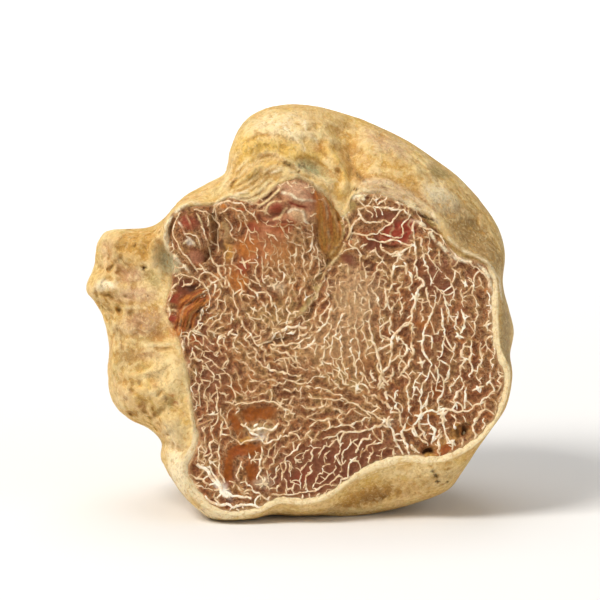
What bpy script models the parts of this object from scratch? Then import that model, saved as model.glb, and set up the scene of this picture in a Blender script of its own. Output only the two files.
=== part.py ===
"""White truffle with a slice cut off its front, so that the marbled flesh shows.

Run with: blender --background --python part.py

The truffle grew as one piece, so it is one solid: a lobed body, a cut face with the net of veins
standing a little proud of the flesh, and the folds where the skin dips into the flesh.

Shapes are worked out in millimetres in the cut's own frame: u to the right, v up along the cut and
w back from the cut into the body.  The finished mesh is then leaned back, stood on the floor and
turned into metres, +Z up, with the cut face looking along -Y.  The origin is the middle of the base.
"""

import math
import random

import bmesh
import bpy
import numpy as np
from mathutils import Vector, geometry, noise

MM = 0.001

# ---------------------------------------------------------------- driving sizes, in millimetres
DEPTH = 38.0  # cut face to the far end of the back
LEAN_DEG = 9.0  # how far the cut face leans back
FLOOR_DROP = 0.8  # the floor lies this far under the cut frame's zero
SKIN_STEP_FRONT = 1.5  # spacing of the skin's points beside the cut
SKIN_STEP_BACK = 2.4  # and at the far end of the back
RIM_STEP = 1.25  # spacing of the points along the cut's edge
FOLD_STEP = 1.1  # spacing of the points along a fold
VEIN_ALONG = 3.0  # flesh cell, along the veins' run
VEIN_ACROSS = 1.16  # flesh cell, across it
VEIN_HEIGHT = 0.20  # the veins stand this far proud
FLESH_SINK = 0.25  # the middle of a flesh cell lies this far in
VEIN_HALF = 0.25  # the corners of a flesh cell stand back this far from where the veins meet
CORNER_APART = 0.45  # corners closer than this are one
RIM_CLEAR = 0.5  # the cells stay this far inside the cut's edge
FOLD_CLEAR = 0.6  # and other points this far from a fold's own
LIP_HEIGHT = 0.25  # the skin stands this far proud round the cut

CENTRE = (4.0, 24.0)  # middle of the cut face, (u, v)
BACK_CENTRE = (1.5, 25.5)  # the far end of the back, (u, v)
CORE = Vector((3.0, 26.0, 14.0))  # middle of the body, (u, v, w)

# The cut's edge, (u, v), anticlockwise from the right.
RIM = (
    (29.8, 20.8), (28.3, 24.6), (28.0, 29.3), (27.8, 34.0), (26.0, 36.8), (22.3, 38.0), (19.8, 41.3),
    (16.8, 44.4), (11.2, 47.0), (7.6, 46.2), (6.0, 43.6), (2.8, 46.9), (0.0, 48.5), (-3.8, 47.6),
    (-6.4, 45.6), (-9.8, 46.0), (-12.5, 45.0), (-16.4, 44.8), (-18.9, 42.8), (-19.1, 38.0),
    (-18.6, 34.0), (-19.3, 29.6), (-17.4, 25.4), (-16.3, 20.8), (-15.6, 15.7), (-15.2, 11.5),
    (-16.9, 7.8), (-16.0, 4.3), (-13.6, 1.8), (-9.8, 0.6), (-5.9, 1.0), (-2.9, 2.3), (0.5, 2.2),
    (3.9, 3.1), (7.3, 5.6), (11.1, 7.5), (14.5, 8.4), (17.8, 8.2), (21.5, 8.7), (25.7, 11.3),
    (28.7, 15.7),
)

# The widest line round the body, (u, v, w).
BELLY = (
    (30.4, 20.0, 9), (30.2, 23.3, 10), (30.8, 26.7, 11), (30.0, 30.2, 12), (29.2, 33.6, 12),
    (29.6, 37.8, 13), (28.7, 41.6, 13), (26.2, 45.5, 14), (23.1, 48.9, 14), (19.6, 51.6, 14),
    (15.8, 54.2, 14), (11.5, 56.3, 13), (7.2, 58.0, 13), (2.6, 59.2, 12), (-2.1, 59.4, 11),
    (-5.9, 58.4, 10), (-8.6, 56.2, 9), (-10.2, 52.7, 8), (-10.8, 49.6, 9), (-13.6, 47.9, 9),
    (-16.8, 46.0, 9), (-19.6, 42.9, 8), (-22.1, 41.6, 8), (-27.2, 41.2, 7), (-29.0, 39.5, 7),
    (-29.5, 36.1, 8), (-30.8, 32.7, 8), (-29.7, 31.0, 8), (-28.3, 28.4, 8), (-27.4, 24.6, 8),
    (-27.5, 20.8, 8), (-27.0, 17.0, 8), (-24.9, 14.2, 8), (-21.8, 12.6, 8), (-20.0, 10.8, 7),
    (-19.8, 8.5, 6), (-18.0, 5.0, 6), (-15.4, 1.9, 5), (-12.3, -0.2, 5), (-7.2, -0.2, 5),
    (-4.2, 0.4, 6), (-0.4, 0.2, 7), (3.8, 0.2, 8), (7.2, -0.1, 9), (11.5, 0.6, 9), (16.7, 1.9, 9),
    (21.1, 3.7, 9), (23.2, 6.3, 9), (25.4, 9.8, 8), (27.3, 12.7, 8), (29.4, 15.7, 8),
)
BELLY_SHARE = 0.36  # share of the way from the cut's edge to the back's end
BACK_WAVES = 3  # behind the belly only this many waves of its outline are left
EDGE_SLOPE = 0.35  # how soon the skin turns away from the cut: 0 is flush with it
FULLNESS = 0.74  # under 1 keeps the back full

# Swellings and hollows of the front: name, u, v, half length, half width, turn in degrees, lift
# towards the viewer.
DABS = (
    ("hood crown", -2.5, 55.5, 7.0, 3.6, 8, 2.0),
    ("hood left cheek", -8.0, 51.5, 2.6, 3.6, 0, 1.0),
    ("hollow under the hood", 1.4, 50.4, 3.4, 1.5, -12, -3.2),
    ("hood right cheek", 4.6, 50.8, 1.6, 3.4, 14, 1.1),
    ("dome of flesh", -1.6, 43.6, 5.6, 4.8, 0, 2.6),
    ("pocket beside the dome", 4.3, 40.6, 1.9, 4.6, 8, -1.9),
    ("upper left lobe", -15.6, 40.2, 3.0, 4.6, 8, 1.8),
    ("small top lobe", -9.8, 43.9, 3.0, 1.8, -4, 1.3),
    ("gap beside the lobe", -18.9, 36.8, 1.4, 3.0, 15, -2.4),
    ("ear knob", -24.6, 38.8, 4.2, 2.6, 10, 1.4),
    ("ear nose", -28.0, 33.2, 3.4, 1.5, -8, 1.4),
    ("ear dip", -23.2, 35.2, 3.2, 1.2, 0, -0.7),
    ("ear hollow", -23.0, 27.6, 5.0, 2.4, 0, -0.9),
    ("ear foot", -21.0, 20.0, 5.4, 4.6, 0, 1.9),
    ("ear wart", -24.9, 16.9, 1.9, 1.6, 0, 0.9),
    ("ear toe", -18.6, 13.8, 2.4, 2.2, 0, 1.5),
    ("notch under the ear", -19.0, 10.7, 2.6, 0.9, -20, -1.5),
    ("lower left lip", -17.6, 7.0, 1.7, 4.6, 12, 0.9),
    ("chin hollow", 9.6, 3.6, 5.0, 1.6, 18, -1.1),
    ("chin", 19.8, 5.8, 4.2, 2.2, 8, 0.9),
    ("shoulder", 15.5, 50.6, 8.0, 2.8, -24, 1.0),
    ("shoulder hollow", 24.6, 41.0, 2.0, 3.2, 35, -1.2),
    ("upper right lip", 21.6, 40.6, 4.6, 0.9, -42, 0.9),
    ("right lip", 29.3, 26.5, 0.9, 5.0, 0, 0.5),
    ("rot hole", 18.0, 9.7, 0.9, 0.8, 0, -1.4),
    ("larger rot hole", 23.0, 12.4, 1.2, 0.9, 35, -1.6),
)

# Folds: name, half width, lift, then the points (u, v) that the fold runs through.
FOLDS = (
    ("crease into the flesh", 0.75, -1.7,
     ((4.4, 46.0), (6.2, 42.6), (7.1, 40.3), (5.2, 38.2), (4.0, 35.9), (2.4, 33.6), (1.6, 29.6),
      (-0.6, 26.6))),
    ("collar round the dome", 1.1, 1.3,
     ((-12.2, 45.8), (-9.0, 48.6), (-4.6, 50.2), (-0.2, 49.7), (3.0, 47.8), (5.4, 45.2))),
    ("groove behind the collar", 1.0, -1.3,
     ((-12.0, 48.2), (-8.4, 50.6), (-3.6, 51.9), (0.4, 51.4))),
    ("valley beside the hood", 1.7, -1.4,
     ((5.0, 57.5), (7.0, 53.5), (7.6, 50.0), (7.4, 47.4))),
    ("groove round the left lobe", 0.8, -1.3,
     ((-12.8, 45.6), (-11.8, 41.6), (-12.9, 38.2), (-15.0, 35.6))),
    ("split under the shoulder", 0.7, -1.0,
     ((15.6, 44.6), (18.6, 42.4), (20.8, 40.0))),
    ("ear seam", 1.2, -0.9,
     ((-30.0, 30.8), (-25.0, 31.2), (-21.4, 30.6), (-18.6, 31.4))),
    ("ring round the wart", 0.9, -0.7,
     ((-27.6, 15.6), (-25.2, 14.4), (-23.0, 15.6), (-22.6, 18.0))),
)
FOLD_FADE = 0.22  # share of its run over which a fold dies away at each end
FOLD_SHOULDER = 1.1  # a fold's shoulders lie this many half widths from its crest
SMALL_DAB = 1.4  # dabs narrower than this have points of their own
DAB_EDGE = 1.3  # over 1 gives a dab a flatter top and a steeper side

VEIN_HUB = (12.0, 12.0)  # the veins fan out from here, (u, v)
VEIN_WANDER = 0.9  # how far they stray from that, in radians
WANDER_SIZE = 9.0  # over this distance
VEIN_SEED = 11
CELL_APART = 0.86  # least distance between two cells' middles, in cells
CELL_MISSES = 900  # darts that miss in a row before the face counts as full

# Uneven bumps all over the skin and the cut: (width, height).
CUT_WAVER = (9.0, 0.35)
SKIN_BUMPS = ((5.5, 0.55), (2.6, 0.30))
FRONT_BUMPS = 0.7  # they are this much lower on the front

LOBE_SIZE = 16.0  # width of the lobes that the back is gathered into
LOBE_DEPTH = 3.8  # depth of the furrows between them
LOBE_ROUND = 0.30  # how soon a lobe rises from its furrow, as a share of its width
LOBE_FLOOR = 0.06  # how wide the furrow's bottom is, the same way
LOBE_LEVEL = 0.62  # share of a lobe's height that lies under the plain skin
LOBE_WARP = 3.5  # how far the furrows wander
WARP_SIZE = 8.0  # over this distance
WARP_SEED = 1795410769  # which wandering it is, the same each time

SKIN_COLOUR = (0.62, 0.42, 0.17, 1.0)
FLESH_COLOUR = (0.30, 0.15, 0.075, 1.0)
VEIN_COLOUR = (0.78, 0.66, 0.50, 1.0)


# ---------------------------------------------------------------- outlines
def through(start, before, after, beyond, samples):
    """Catmull-Rom samples from each start towards its after."""
    t = (np.arange(samples) / samples)[None, :, None]
    return start + 0.5 * t * (
        (after - before)
        + t * (2 * before - 5 * start + 4 * after - beyond)
        + t * t * (3 * start - before - 3 * after + beyond)
    )


def smooth_loop(points, samples=10):
    """A closed smooth curve through the points."""
    start = np.asarray(points, float)[:, None]
    before, after, beyond = (np.roll(start, shift, 0) for shift in (1, -1, -2))
    return through(start, before, after, beyond, samples).reshape(-1, start.shape[-1])


def smooth_line(points, samples=5):
    """An open smooth curve through the points, ends included."""
    row = np.asarray(points, float)[:, None]
    row = np.concatenate([2 * row[:1] - row[1:2], row, 2 * row[-1:] - row[-2:-1]])
    curve = through(row[1:-2], row[:-3], row[2:-1], row[3:], samples)
    return np.vstack([curve.reshape(-1, row.shape[-1]), row[-2]])


def spread_along(line, step):
    """Points along an open line, a step apart or nearly so, ends included."""
    run = np.concatenate([[0], np.cumsum(np.hypot(*np.diff(line, axis=0).T))])
    at = np.linspace(0, run[-1], max(2, round(run[-1] / step) + 1))
    return np.column_stack([np.interp(at, run, line[:, axis]) for axis in (0, 1)])


class Outline:
    """A closed curve round CENTRE, read by angle."""

    def __init__(self, points):
        self.curve = smooth_loop(points)
        offset = self.curve[:, :2] - CENTRE
        self.angles = np.arctan2(offset[:, 1], offset[:, 0])
        self.radii = np.hypot(offset[:, 0], offset[:, 1])

    def radius(self, angle):
        return np.interp(angle, self.angles, self.radii, period=2 * math.pi)

    def depth(self, angle):
        return np.interp(angle, self.angles, self.curve[:, 2], period=2 * math.pi)

    def plain_radius(self, angle):
        """The radius with only its slowest waves round the outline left in it."""
        turns = np.linspace(-math.pi, math.pi, 360, endpoint=False)
        waves = np.fft.rfft(self.radius(turns))
        waves[BACK_WAVES + 1:] = 0
        return np.interp(angle, turns, np.fft.irfft(waves, len(turns)), period=2 * math.pi)

    def evenly(self, step):
        """Points (u, v) along the curve, a step apart."""
        return spread_along(np.vstack([self.curve, self.curve[:1]])[:, :2], step)[:-1]


RIM_LINE = Outline(RIM)
BELLY_LINE = Outline(BELLY)


def smoothstep(low, high, value):
    t = np.clip((value - low) / (high - low), 0, 1)
    return t * t * (3 - 2 * t)


# ---------------------------------------------------------------- relief of the front
def dab_lift(u, v):
    """Lift towards the viewer from every swelling and hollow of the front, at each (u, v)."""
    lift = np.zeros_like(u)
    for _, centre_u, centre_v, half_length, half_width, turn, height in DABS:
        c, s = math.cos(math.radians(turn)), math.sin(math.radians(turn))
        along = ((u - centre_u) * c + (v - centre_v) * s) / half_length
        across = ((v - centre_v) * c - (u - centre_u) * s) / half_width
        lift += height * np.exp(-((along**2 + across**2) ** DAB_EDGE))
    return lift


def nearest_on_line(u, v, points):
    """Distance from each (u, v) to an open line, and the share of its run where it comes nearest."""
    points = np.asarray(points)
    lengths = np.hypot(*np.diff(points, axis=0).T)
    best, at = np.full_like(u, np.inf), np.zeros_like(u)
    run = 0.0
    for (u0, v0), (u1, v1), length in zip(points[:-1], points[1:], lengths):
        du, dv = u1 - u0, v1 - v0
        share = np.clip(((u - u0) * du + (v - v0) * dv) / (length * length), 0, 1)
        distance = np.hypot(u - u0 - share * du, v - v0 - share * dv)
        at = np.where(distance < best, run + share * length, at)
        best = np.minimum(best, distance)
        run += length
    return best, at / run


def fold_lift(u, v):
    """Lift from the folds: a rounded ridge or groove along each line, dying away at its ends."""
    lift = np.zeros_like(u)
    for _, half_width, height, points in FOLDS:
        distance, share = nearest_on_line(u, v, smooth_line(points))
        fade = smoothstep(0, FOLD_FADE, share) * smoothstep(0, FOLD_FADE, 1 - share)
        lift += height * fade * np.exp(-((distance / half_width) ** 2))
    return lift


def relief_points():
    """Points (u, v) that the relief needs: crest and shoulders of each fold, and each small dab."""
    found = []
    for _, half_width, _, points in FOLDS:
        line = spread_along(smooth_line(points), FOLD_STEP)
        along = np.gradient(line, axis=0)
        along /= np.hypot(*along.T)[:, None]
        across = along[:, ::-1] * (-1, 1)
        shoulder = FOLD_SHOULDER * half_width * across
        found += [line, line + shoulder, line - shoulder]
    for _, centre_u, centre_v, half_length, half_width, turn, _ in DABS:
        if half_width < SMALL_DAB:
            ring = np.arange(6) * math.pi / 3
            a, b = half_length * np.cos(ring), half_width * np.sin(ring)
            c, s = math.cos(math.radians(turn)), math.sin(math.radians(turn))
            found.append(np.array([(centre_u, centre_v)]))
            found.append(np.column_stack([centre_u + a * c - b * s, centre_v + a * s + b * c]))
    return thinned(np.vstack(found), FOLD_CLEAR)


def thinned(points, apart):
    """The points with each one dropped that comes nearer than this to one before it."""
    kept = points[:1]
    for point in points[1:]:
        if np.hypot(*(kept - point).T).min() >= apart:
            kept = np.vstack([kept, point])
    return kept


def far_from(points, others, apart):
    """Whether each (u, v) keeps this far from all the others."""
    return np.hypot(*(points[:, None] - others[None]).transpose(2, 0, 1)).min(axis=1) >= apart


def bumps(points, *kinds):
    """Uneven lift at each (u, v, w) from smooth bumps, each kind a width and a height."""
    return np.array([sum(height * noise.noise(Vector(p) / width) for width, height in kinds) for p in points])


def front_lift(points):
    """Lift towards the viewer of each (u, v, w) of the front: swellings, folds and a slow waver."""
    u, v = points[:, 0], points[:, 1]
    return dab_lift(u, v) + fold_lift(u, v) + bumps(points, CUT_WAVER)


# ---------------------------------------------------------------- skin
def skin_shape(angle, share):
    """(u, v, w) of the plain skin: share 0 is the cut's edge and 1 the end of the back."""
    rim, belly, belly_depth = RIM_LINE.radius(angle), BELLY_LINE.radius(angle), BELLY_LINE.depth(angle)
    front = np.clip(share / BELLY_SHARE, 0, 1) * math.pi / 2
    back = np.clip((share - BELLY_SHARE) / (1 - BELLY_SHARE), 0, 1) * math.pi / 2
    plainer = smoothstep(0, 0.9, back)
    wide = belly + (BELLY_LINE.plain_radius(angle) - belly) * plainer
    radius = (rim + (wide - rim) * np.sin(front)) * np.maximum(np.cos(back), 0) ** FULLNESS
    turn = EDGE_SLOPE * front / (math.pi / 2) + (1 - EDGE_SLOPE) * (1 - np.cos(front))
    depth = belly_depth * turn + (DEPTH - belly_depth) * np.sin(back)
    shift = smoothstep(0, math.pi / 2, back)
    u = CENTRE[0] + (BACK_CENTRE[0] - CENTRE[0]) * shift + radius * np.cos(angle)
    v = CENTRE[1] + (BACK_CENTRE[1] - CENTRE[1]) * shift + radius * np.sin(angle)
    return np.column_stack([u, v, depth])


def skin_share(points):
    """Angle and share of the skin's points that lie in front of the belly at these (u, v)."""
    u, v = (points - CENTRE).T
    angle = np.arctan2(v, u)
    rim, belly = RIM_LINE.radius(angle), BELLY_LINE.radius(angle)
    out = np.clip((np.hypot(u, v) - rim) / np.maximum(belly - rim, 0.01), 0, 1)
    return angle, np.arcsin(out) / (math.pi / 2) * BELLY_SHARE


def lobe_swell(points):
    """How far the skin stands above the furrows between the back's lobes, 0 to 1."""
    noise.seed_set(WARP_SEED)
    swell = []
    for point in points:
        place = Vector(point)
        warped = place + LOBE_WARP * noise.noise_vector(place / WARP_SIZE)
        nearest, second = noise.voronoi(warped / LOBE_SIZE)[0][:2]
        swell.append(1 - math.exp(-math.hypot(second - nearest, LOBE_FLOOR) / LOBE_ROUND))
    return np.array(swell)


def skin_points(angle, share):
    """(u, v, w) of the finished skin."""
    plain = skin_shape(angle, share)
    outward = plain - np.array(CORE)
    outward /= np.linalg.norm(outward, axis=1, keepdims=True)
    behind = smoothstep(BELLY_SHARE * 0.85, BELLY_SHARE * 1.5, share)[:, None]
    before = 1 - smoothstep(BELLY_SHARE * 0.5, BELLY_SHARE * 1.15, share)[:, None]
    off_edge = smoothstep(0, BELLY_SHARE * 0.4, share)[:, None]
    lobes = LOBE_DEPTH * (lobe_swell(plain)[:, None] - LOBE_LEVEL)
    uneven = bumps(plain, *SKIN_BUMPS)[:, None]
    points = plain + outward * behind * (lobes + uneven)
    toward = (front_lift(plain)[:, None] + FRONT_BUMPS * off_edge * uneven) * before
    return points - toward * np.array((0, 0, 1))


def mean_profile():
    """Run along the skin, mean radius and flattening stretch, by share, round the whole body."""
    angles = np.linspace(0, 2 * math.pi, 72, endpoint=False)
    shares = np.linspace(0, 1, 241)
    rings = np.array([skin_shape(angles, np.full_like(angles, share)) for share in shares])
    middles = rings.mean(axis=1, keepdims=True)
    radii = np.linalg.norm((rings - middles)[..., :2], axis=2).mean(axis=1)
    steps = np.linalg.norm(np.diff(rings, axis=0), axis=2).mean(axis=1)
    run = np.concatenate([[0], np.cumsum(steps)])
    stretch = np.concatenate([[0], np.cumsum(steps / np.maximum(radii[1:], 0.3))])
    return shares, run, radii, stretch


def skin_rings(relief):
    """Points of the skin, ring by ring from the cut, then those that its relief needs: their angle,
    share and place on a flat map.

    The map keeps angles, as a stereographic one does, so well-shaped triangles on it stay so."""
    shares, run, radii, stretch = mean_profile()
    angles, ring_shares = [], []
    at, odd = SKIN_STEP_FRONT * 0.9, False
    while at < run[-1] - SKIN_STEP_BACK * 0.8:
        step = SKIN_STEP_FRONT + (SKIN_STEP_BACK - SKIN_STEP_FRONT) * smoothstep(0.2, 0.8, at / run[-1])
        share, radius = (np.interp(at, run, column) for column in (shares, radii))
        count = max(5, round(2 * math.pi * radius / step))
        angles.append((np.arange(count) + 0.5 * odd) * 2 * math.pi / count)
        ring_shares.append(np.full(count, share))
        at, odd = at + step * 0.87, not odd
    angles, ring_shares = np.concatenate(angles), np.concatenate(ring_shares)
    clear = far_from(skin_shape(angles, ring_shares)[:, :2], relief, FOLD_CLEAR)
    clear |= ring_shares > BELLY_SHARE * 0.9
    relief_angles, relief_shares = skin_share(relief)
    angles = np.concatenate([angles[clear], relief_angles, [0]])
    ring_shares = np.concatenate([ring_shares[clear], relief_shares, [1]])
    scale = np.exp(-np.interp(ring_shares, shares, stretch))
    scale[-1] = 0
    return angles, ring_shares, np.column_stack([np.cos(angles), np.sin(angles)]) * scale[:, None]


# ---------------------------------------------------------------- veins
def inside(points, loop):
    """Whether each (u, v) lies inside a closed polygon."""
    u, v = points[:, :1], points[:, 1:2]
    start, end = loop, np.roll(loop, -1, 0)
    crosses = (start[:, 1] > v) != (end[:, 1] > v)
    rise = np.where(end[:, 1] == start[:, 1], 1, end[:, 1] - start[:, 1])
    at = start[:, 0] + (v - start[:, 1]) * (end[:, 0] - start[:, 0]) / rise
    return (crosses & (u < at)).sum(axis=1) % 2 == 1


def vein_run(u, v):
    """Unit direction (u, v) of the veins' run: out from the hub, wandering a little."""
    away = math.atan2(v - VEIN_HUB[1], u - VEIN_HUB[0])
    away += VEIN_WANDER * noise.noise(Vector((u, v, 0)) / WANDER_SIZE)
    return math.cos(away), math.sin(away)


def flesh_cells(margin=3.0):
    """Middles of the flesh cells, (u, v): darts thrown until none fits, each cell long along the run."""
    draw = random.Random(VEIN_SEED)
    low, high = RIM_LINE.curve.min(0) - margin, RIM_LINE.curve.max(0) + margin
    cells = []
    misses = 0
    while misses < CELL_MISSES:
        u, v = draw.uniform(low[0], high[0]), draw.uniform(low[1], high[1])
        run_u, run_v = vein_run(u, v)
        if cells:
            du, dv = (np.array(cells) - (u, v)).T
            along = (du * run_u + dv * run_v) / VEIN_ALONG
            across = (dv * run_u - du * run_v) / VEIN_ACROSS
            if (along**2 + across**2).min() < CELL_APART**2:
                misses += 1
                continue
        cells.append((u, v))
        misses = 0
    return np.array(cells)


def circumcentre(a, b, c):
    """(u, v) of the point as far from a as from b and c."""
    twice = 2 * (a.x * (b.y - c.y) + b.x * (c.y - a.y) + c.x * (a.y - b.y))
    squares = [point.length_squared for point in (a, b, c)]
    u = squares[0] * (b.y - c.y) + squares[1] * (c.y - a.y) + squares[2] * (a.y - b.y)
    v = squares[0] * (c.x - b.x) + squares[1] * (a.x - c.x) + squares[2] * (b.x - a.x)
    return u / twice, v / twice


def cell_corners(middles):
    """The Voronoi cells of the middles: each cell's middle and its corners in order round it."""
    points, _, faces = geometry.delaunay_2d_cdt([Vector(middle) for middle in middles], [], [], 0, 1e-7)[:3]
    around = [[] for _ in points]
    for face in faces:
        corner = circumcentre(*(points[index] for index in face))
        for index in face:
            around[index].append(corner)
    for middle, corners in zip(points, around):
        away = np.array(corners) - middle
        yield np.array(middle), np.array(middle) + away[np.argsort(np.arctan2(away[:, 1], away[:, 0]))]


def beside_rim(points, rim):
    """Whether each (u, v) lies inside the cut's edge, and how far it is from the edge."""
    loop = np.vstack([rim, rim[:1]])
    return inside(points, rim), nearest_on_line(points[:, 0], points[:, 1], loop)[0]


def flesh_on_the_cut(rim, relief):
    """The flesh cells inside the cut's edge: their middles, and each one's outline half a vein in."""

    def clear(points):
        within, distance = beside_rim(points, rim)
        return within & (distance > RIM_CLEAR) & far_from(points, relief, FOLD_CLEAR)

    middles, outlines = [], []
    for middle, corners in cell_corners(flesh_cells()):
        if not clear(middle[None])[0]:
            continue
        away = corners - middle
        away *= 1 - VEIN_HALF / np.hypot(*away.T)[:, None]
        for _ in range(6):
            away[~clear(middle + away)] *= 0.8
        outline = thinned((middle + away)[clear(middle + away)], CORNER_APART)
        if len(outline) > 2:
            middles.append(middle)
            outlines.append(outline)
    return np.array(middles), outlines


# ---------------------------------------------------------------- mesh
def fill_sheet(points, outlines):
    """Triangles that fill the first outline through all the points, and whether each is in another."""
    verts = [Vector(point) for point in points]
    _, _, faces, sources, _, within = geometry.delaunay_2d_cdt(verts, [], outlines, 1, 1e-7)
    return [[sources[index][0] for index in face] for face in faces], [len(found) > 1 for found in within]


def stand_up(points):
    """Cut-frame millimetres leaned back and stood on the floor, with what is under it pressed flat."""
    lean = math.radians(LEAN_DEG)
    u, v, w = points.T
    y = v * math.sin(lean) + w * math.cos(lean)
    z = v * math.cos(lean) - w * math.sin(lean) + FLOOR_DROP
    placed = np.column_stack([u, y, np.maximum(z, 0)])
    middle = (placed.min(0) + placed.max(0)) / 2
    return (placed - (middle[0], middle[1], 0)) * MM


def colour(name, rgba, roughness):
    material = bpy.data.materials.new(name)
    material.use_nodes = True
    shader = material.node_tree.nodes["Principled BSDF"]
    shader.inputs["Base Color"].default_value = rgba
    shader.inputs["Roughness"].default_value = roughness
    return material


def cut_sheet(rim, relief):
    """The cut: its points (u, v, w), the rim's first, its triangles, and whether each one is flesh."""
    middles, outlines = flesh_on_the_cut(rim, relief)
    flat = np.vstack([rim, *outlines, middles, relief])
    counts = [len(outline) for outline in outlines]
    net = np.repeat(
        (LIP_HEIGHT, VEIN_HEIGHT, -FLESH_SINK, 0.0), (len(rim), sum(counts), len(middles), len(relief))
    )
    points = np.column_stack([flat, np.zeros(len(flat))])
    points[:, 2] = -front_lift(points) - net
    ends = len(rim) + np.cumsum(counts)
    loops = [list(range(end - count, end)) for end, count in zip(ends, counts)]
    return points, *fill_sheet(flat, [list(range(len(rim))), *loops])


def skin_sheet(rim, relief):
    """The skin: its points (u, v, w) behind the rim, and its triangles, which number the rim's first."""
    rim_angles = np.arctan2(*(rim - CENTRE).T[::-1])
    angles, shares, skin_map = skin_rings(relief)
    rim_map = np.column_stack([np.cos(rim_angles), np.sin(rim_angles)])
    faces, _ = fill_sheet(np.vstack([rim_map, skin_map]), [list(range(len(rim)))])
    return skin_points(angles, shares), faces


def truffle():
    """The whole truffle as one closed mesh: the cut's sheet and the skin's, sewn at the cut's edge."""
    rim = RIM_LINE.evenly(RIM_STEP)
    relief = relief_points()
    within, distance = beside_rim(relief, rim)
    clear = distance > RIM_CLEAR
    cut, cut_faces, fleshy = cut_sheet(rim, relief[within & clear])
    skin, skin_faces = skin_sheet(rim, relief[~within & clear])

    mesh = bmesh.new()
    verts = [mesh.verts.new(point) for point in stand_up(np.vstack([cut, skin]))]
    for face, is_flesh in zip(cut_faces, fleshy):
        mesh.faces.new([verts[index] for index in face]).material_index = 1 if is_flesh else 2
    beyond = len(cut) - len(rim)
    for face in skin_faces:
        mesh.faces.new([verts[index if index < len(rim) else index + beyond] for index in face])
    bmesh.ops.recalc_face_normals(mesh, faces=mesh.faces)
    data = bpy.data.meshes.new("truffle")
    mesh.to_mesh(data)
    mesh.free()
    data.shade_smooth()
    data.materials.append(colour("truffle skin", SKIN_COLOUR, 0.6))
    data.materials.append(colour("truffle flesh", FLESH_COLOUR, 0.5))
    data.materials.append(colour("truffle veins", VEIN_COLOUR, 0.45))
    return bpy.data.objects.new("truffle", data)


def main():
    for old in list(bpy.data.objects):
        bpy.data.objects.remove(old, do_unlink=True)
    collection = bpy.data.collections.new("White truffle")
    bpy.context.scene.collection.children.link(collection)
    collection.objects.link(truffle())


main()
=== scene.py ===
"""White truffle with a slice cut off its front: the finished model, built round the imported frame.

The lobed body, the flesh in its cut and the net of veins on the flesh are each a piece of their own.
They are worked out in millimetres in the cut's own frame: u to the right, v up along the cut and w
back from the cut into the body.  Each one is then leaned back, stood on the floor and turned into
metres, +Z up, with the cut face looking along -Y.
"""

import logging
import math
import random
from dataclasses import dataclass, field
from enum import Enum
from typing import Iterable, Sequence

import bpy
import numpy as np
from mathutils import Matrix, Vector, geometry, kdtree, noise


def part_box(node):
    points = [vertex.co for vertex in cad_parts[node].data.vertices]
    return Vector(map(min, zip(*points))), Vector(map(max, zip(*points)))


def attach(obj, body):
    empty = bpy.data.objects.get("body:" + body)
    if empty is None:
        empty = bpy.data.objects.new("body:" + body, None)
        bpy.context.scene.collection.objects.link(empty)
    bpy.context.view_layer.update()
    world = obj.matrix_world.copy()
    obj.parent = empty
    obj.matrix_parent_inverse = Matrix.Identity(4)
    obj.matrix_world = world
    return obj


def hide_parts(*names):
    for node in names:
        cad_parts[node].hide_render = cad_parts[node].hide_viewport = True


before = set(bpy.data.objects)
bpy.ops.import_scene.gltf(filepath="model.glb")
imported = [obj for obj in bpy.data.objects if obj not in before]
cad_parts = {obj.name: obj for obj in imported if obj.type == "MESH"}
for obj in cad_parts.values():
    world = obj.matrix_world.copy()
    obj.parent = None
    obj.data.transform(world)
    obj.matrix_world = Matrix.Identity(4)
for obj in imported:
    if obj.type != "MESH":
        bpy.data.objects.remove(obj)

LOG = logging.getLogger("truffle")
MM = 0.001
HALF_TURN = math.pi
ROW = 0.87  # rows of triangles lie this far apart for each length of a side
STRAY_LAYERS = (21.0, 61.0)  # where in the noise the strays of u and of v are read
FLESH_LAYER = 3.7  # and where the wandering of the flesh's border is
CREASE_SHIFT = 60.0  # and how far off the fine creases are
WELD = 1e-7  # corners of a sheet nearer than this are one
INSIDE = 1  # fill a sheet's loop and nothing outside it
Points = np.ndarray

CENTRE = (4.0, 24.0)  # middle of the cut face, (u, v)
BACK_CENTRE = (1.5, 25.5)  # the far end of the back, (u, v)
CORE = (3.0, 26.0, 14.0)  # middle of the body, (u, v, w)

# The cut's edge, (u, v), anticlockwise from the right.
RIM = (
    (29.8, 20.8), (28.3, 24.6), (28.0, 29.3), (27.8, 34.0), (26.0, 36.8), (22.3, 38.0), (19.8, 41.3),
    (16.8, 44.4), (11.2, 47.0), (7.6, 46.2), (6.0, 43.6), (2.8, 46.9), (0.0, 48.5), (-3.8, 47.6),
    (-6.4, 45.6), (-9.8, 46.0), (-12.5, 45.0), (-16.4, 44.8), (-18.9, 42.8), (-19.1, 38.0), (-18.6, 34.0),
    (-19.3, 29.6), (-17.4, 25.4), (-16.3, 20.8), (-15.6, 15.7), (-15.2, 11.5), (-16.9, 7.8), (-16.0, 4.3),
    (-13.6, 1.8), (-9.8, 0.6), (-5.9, 1.0), (-2.9, 2.3), (0.5, 2.2), (3.9, 3.1), (7.3, 5.6), (11.1, 7.5),
    (14.5, 8.4), (17.8, 8.2), (21.5, 8.7), (25.7, 11.3), (28.7, 15.7),
)

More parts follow.
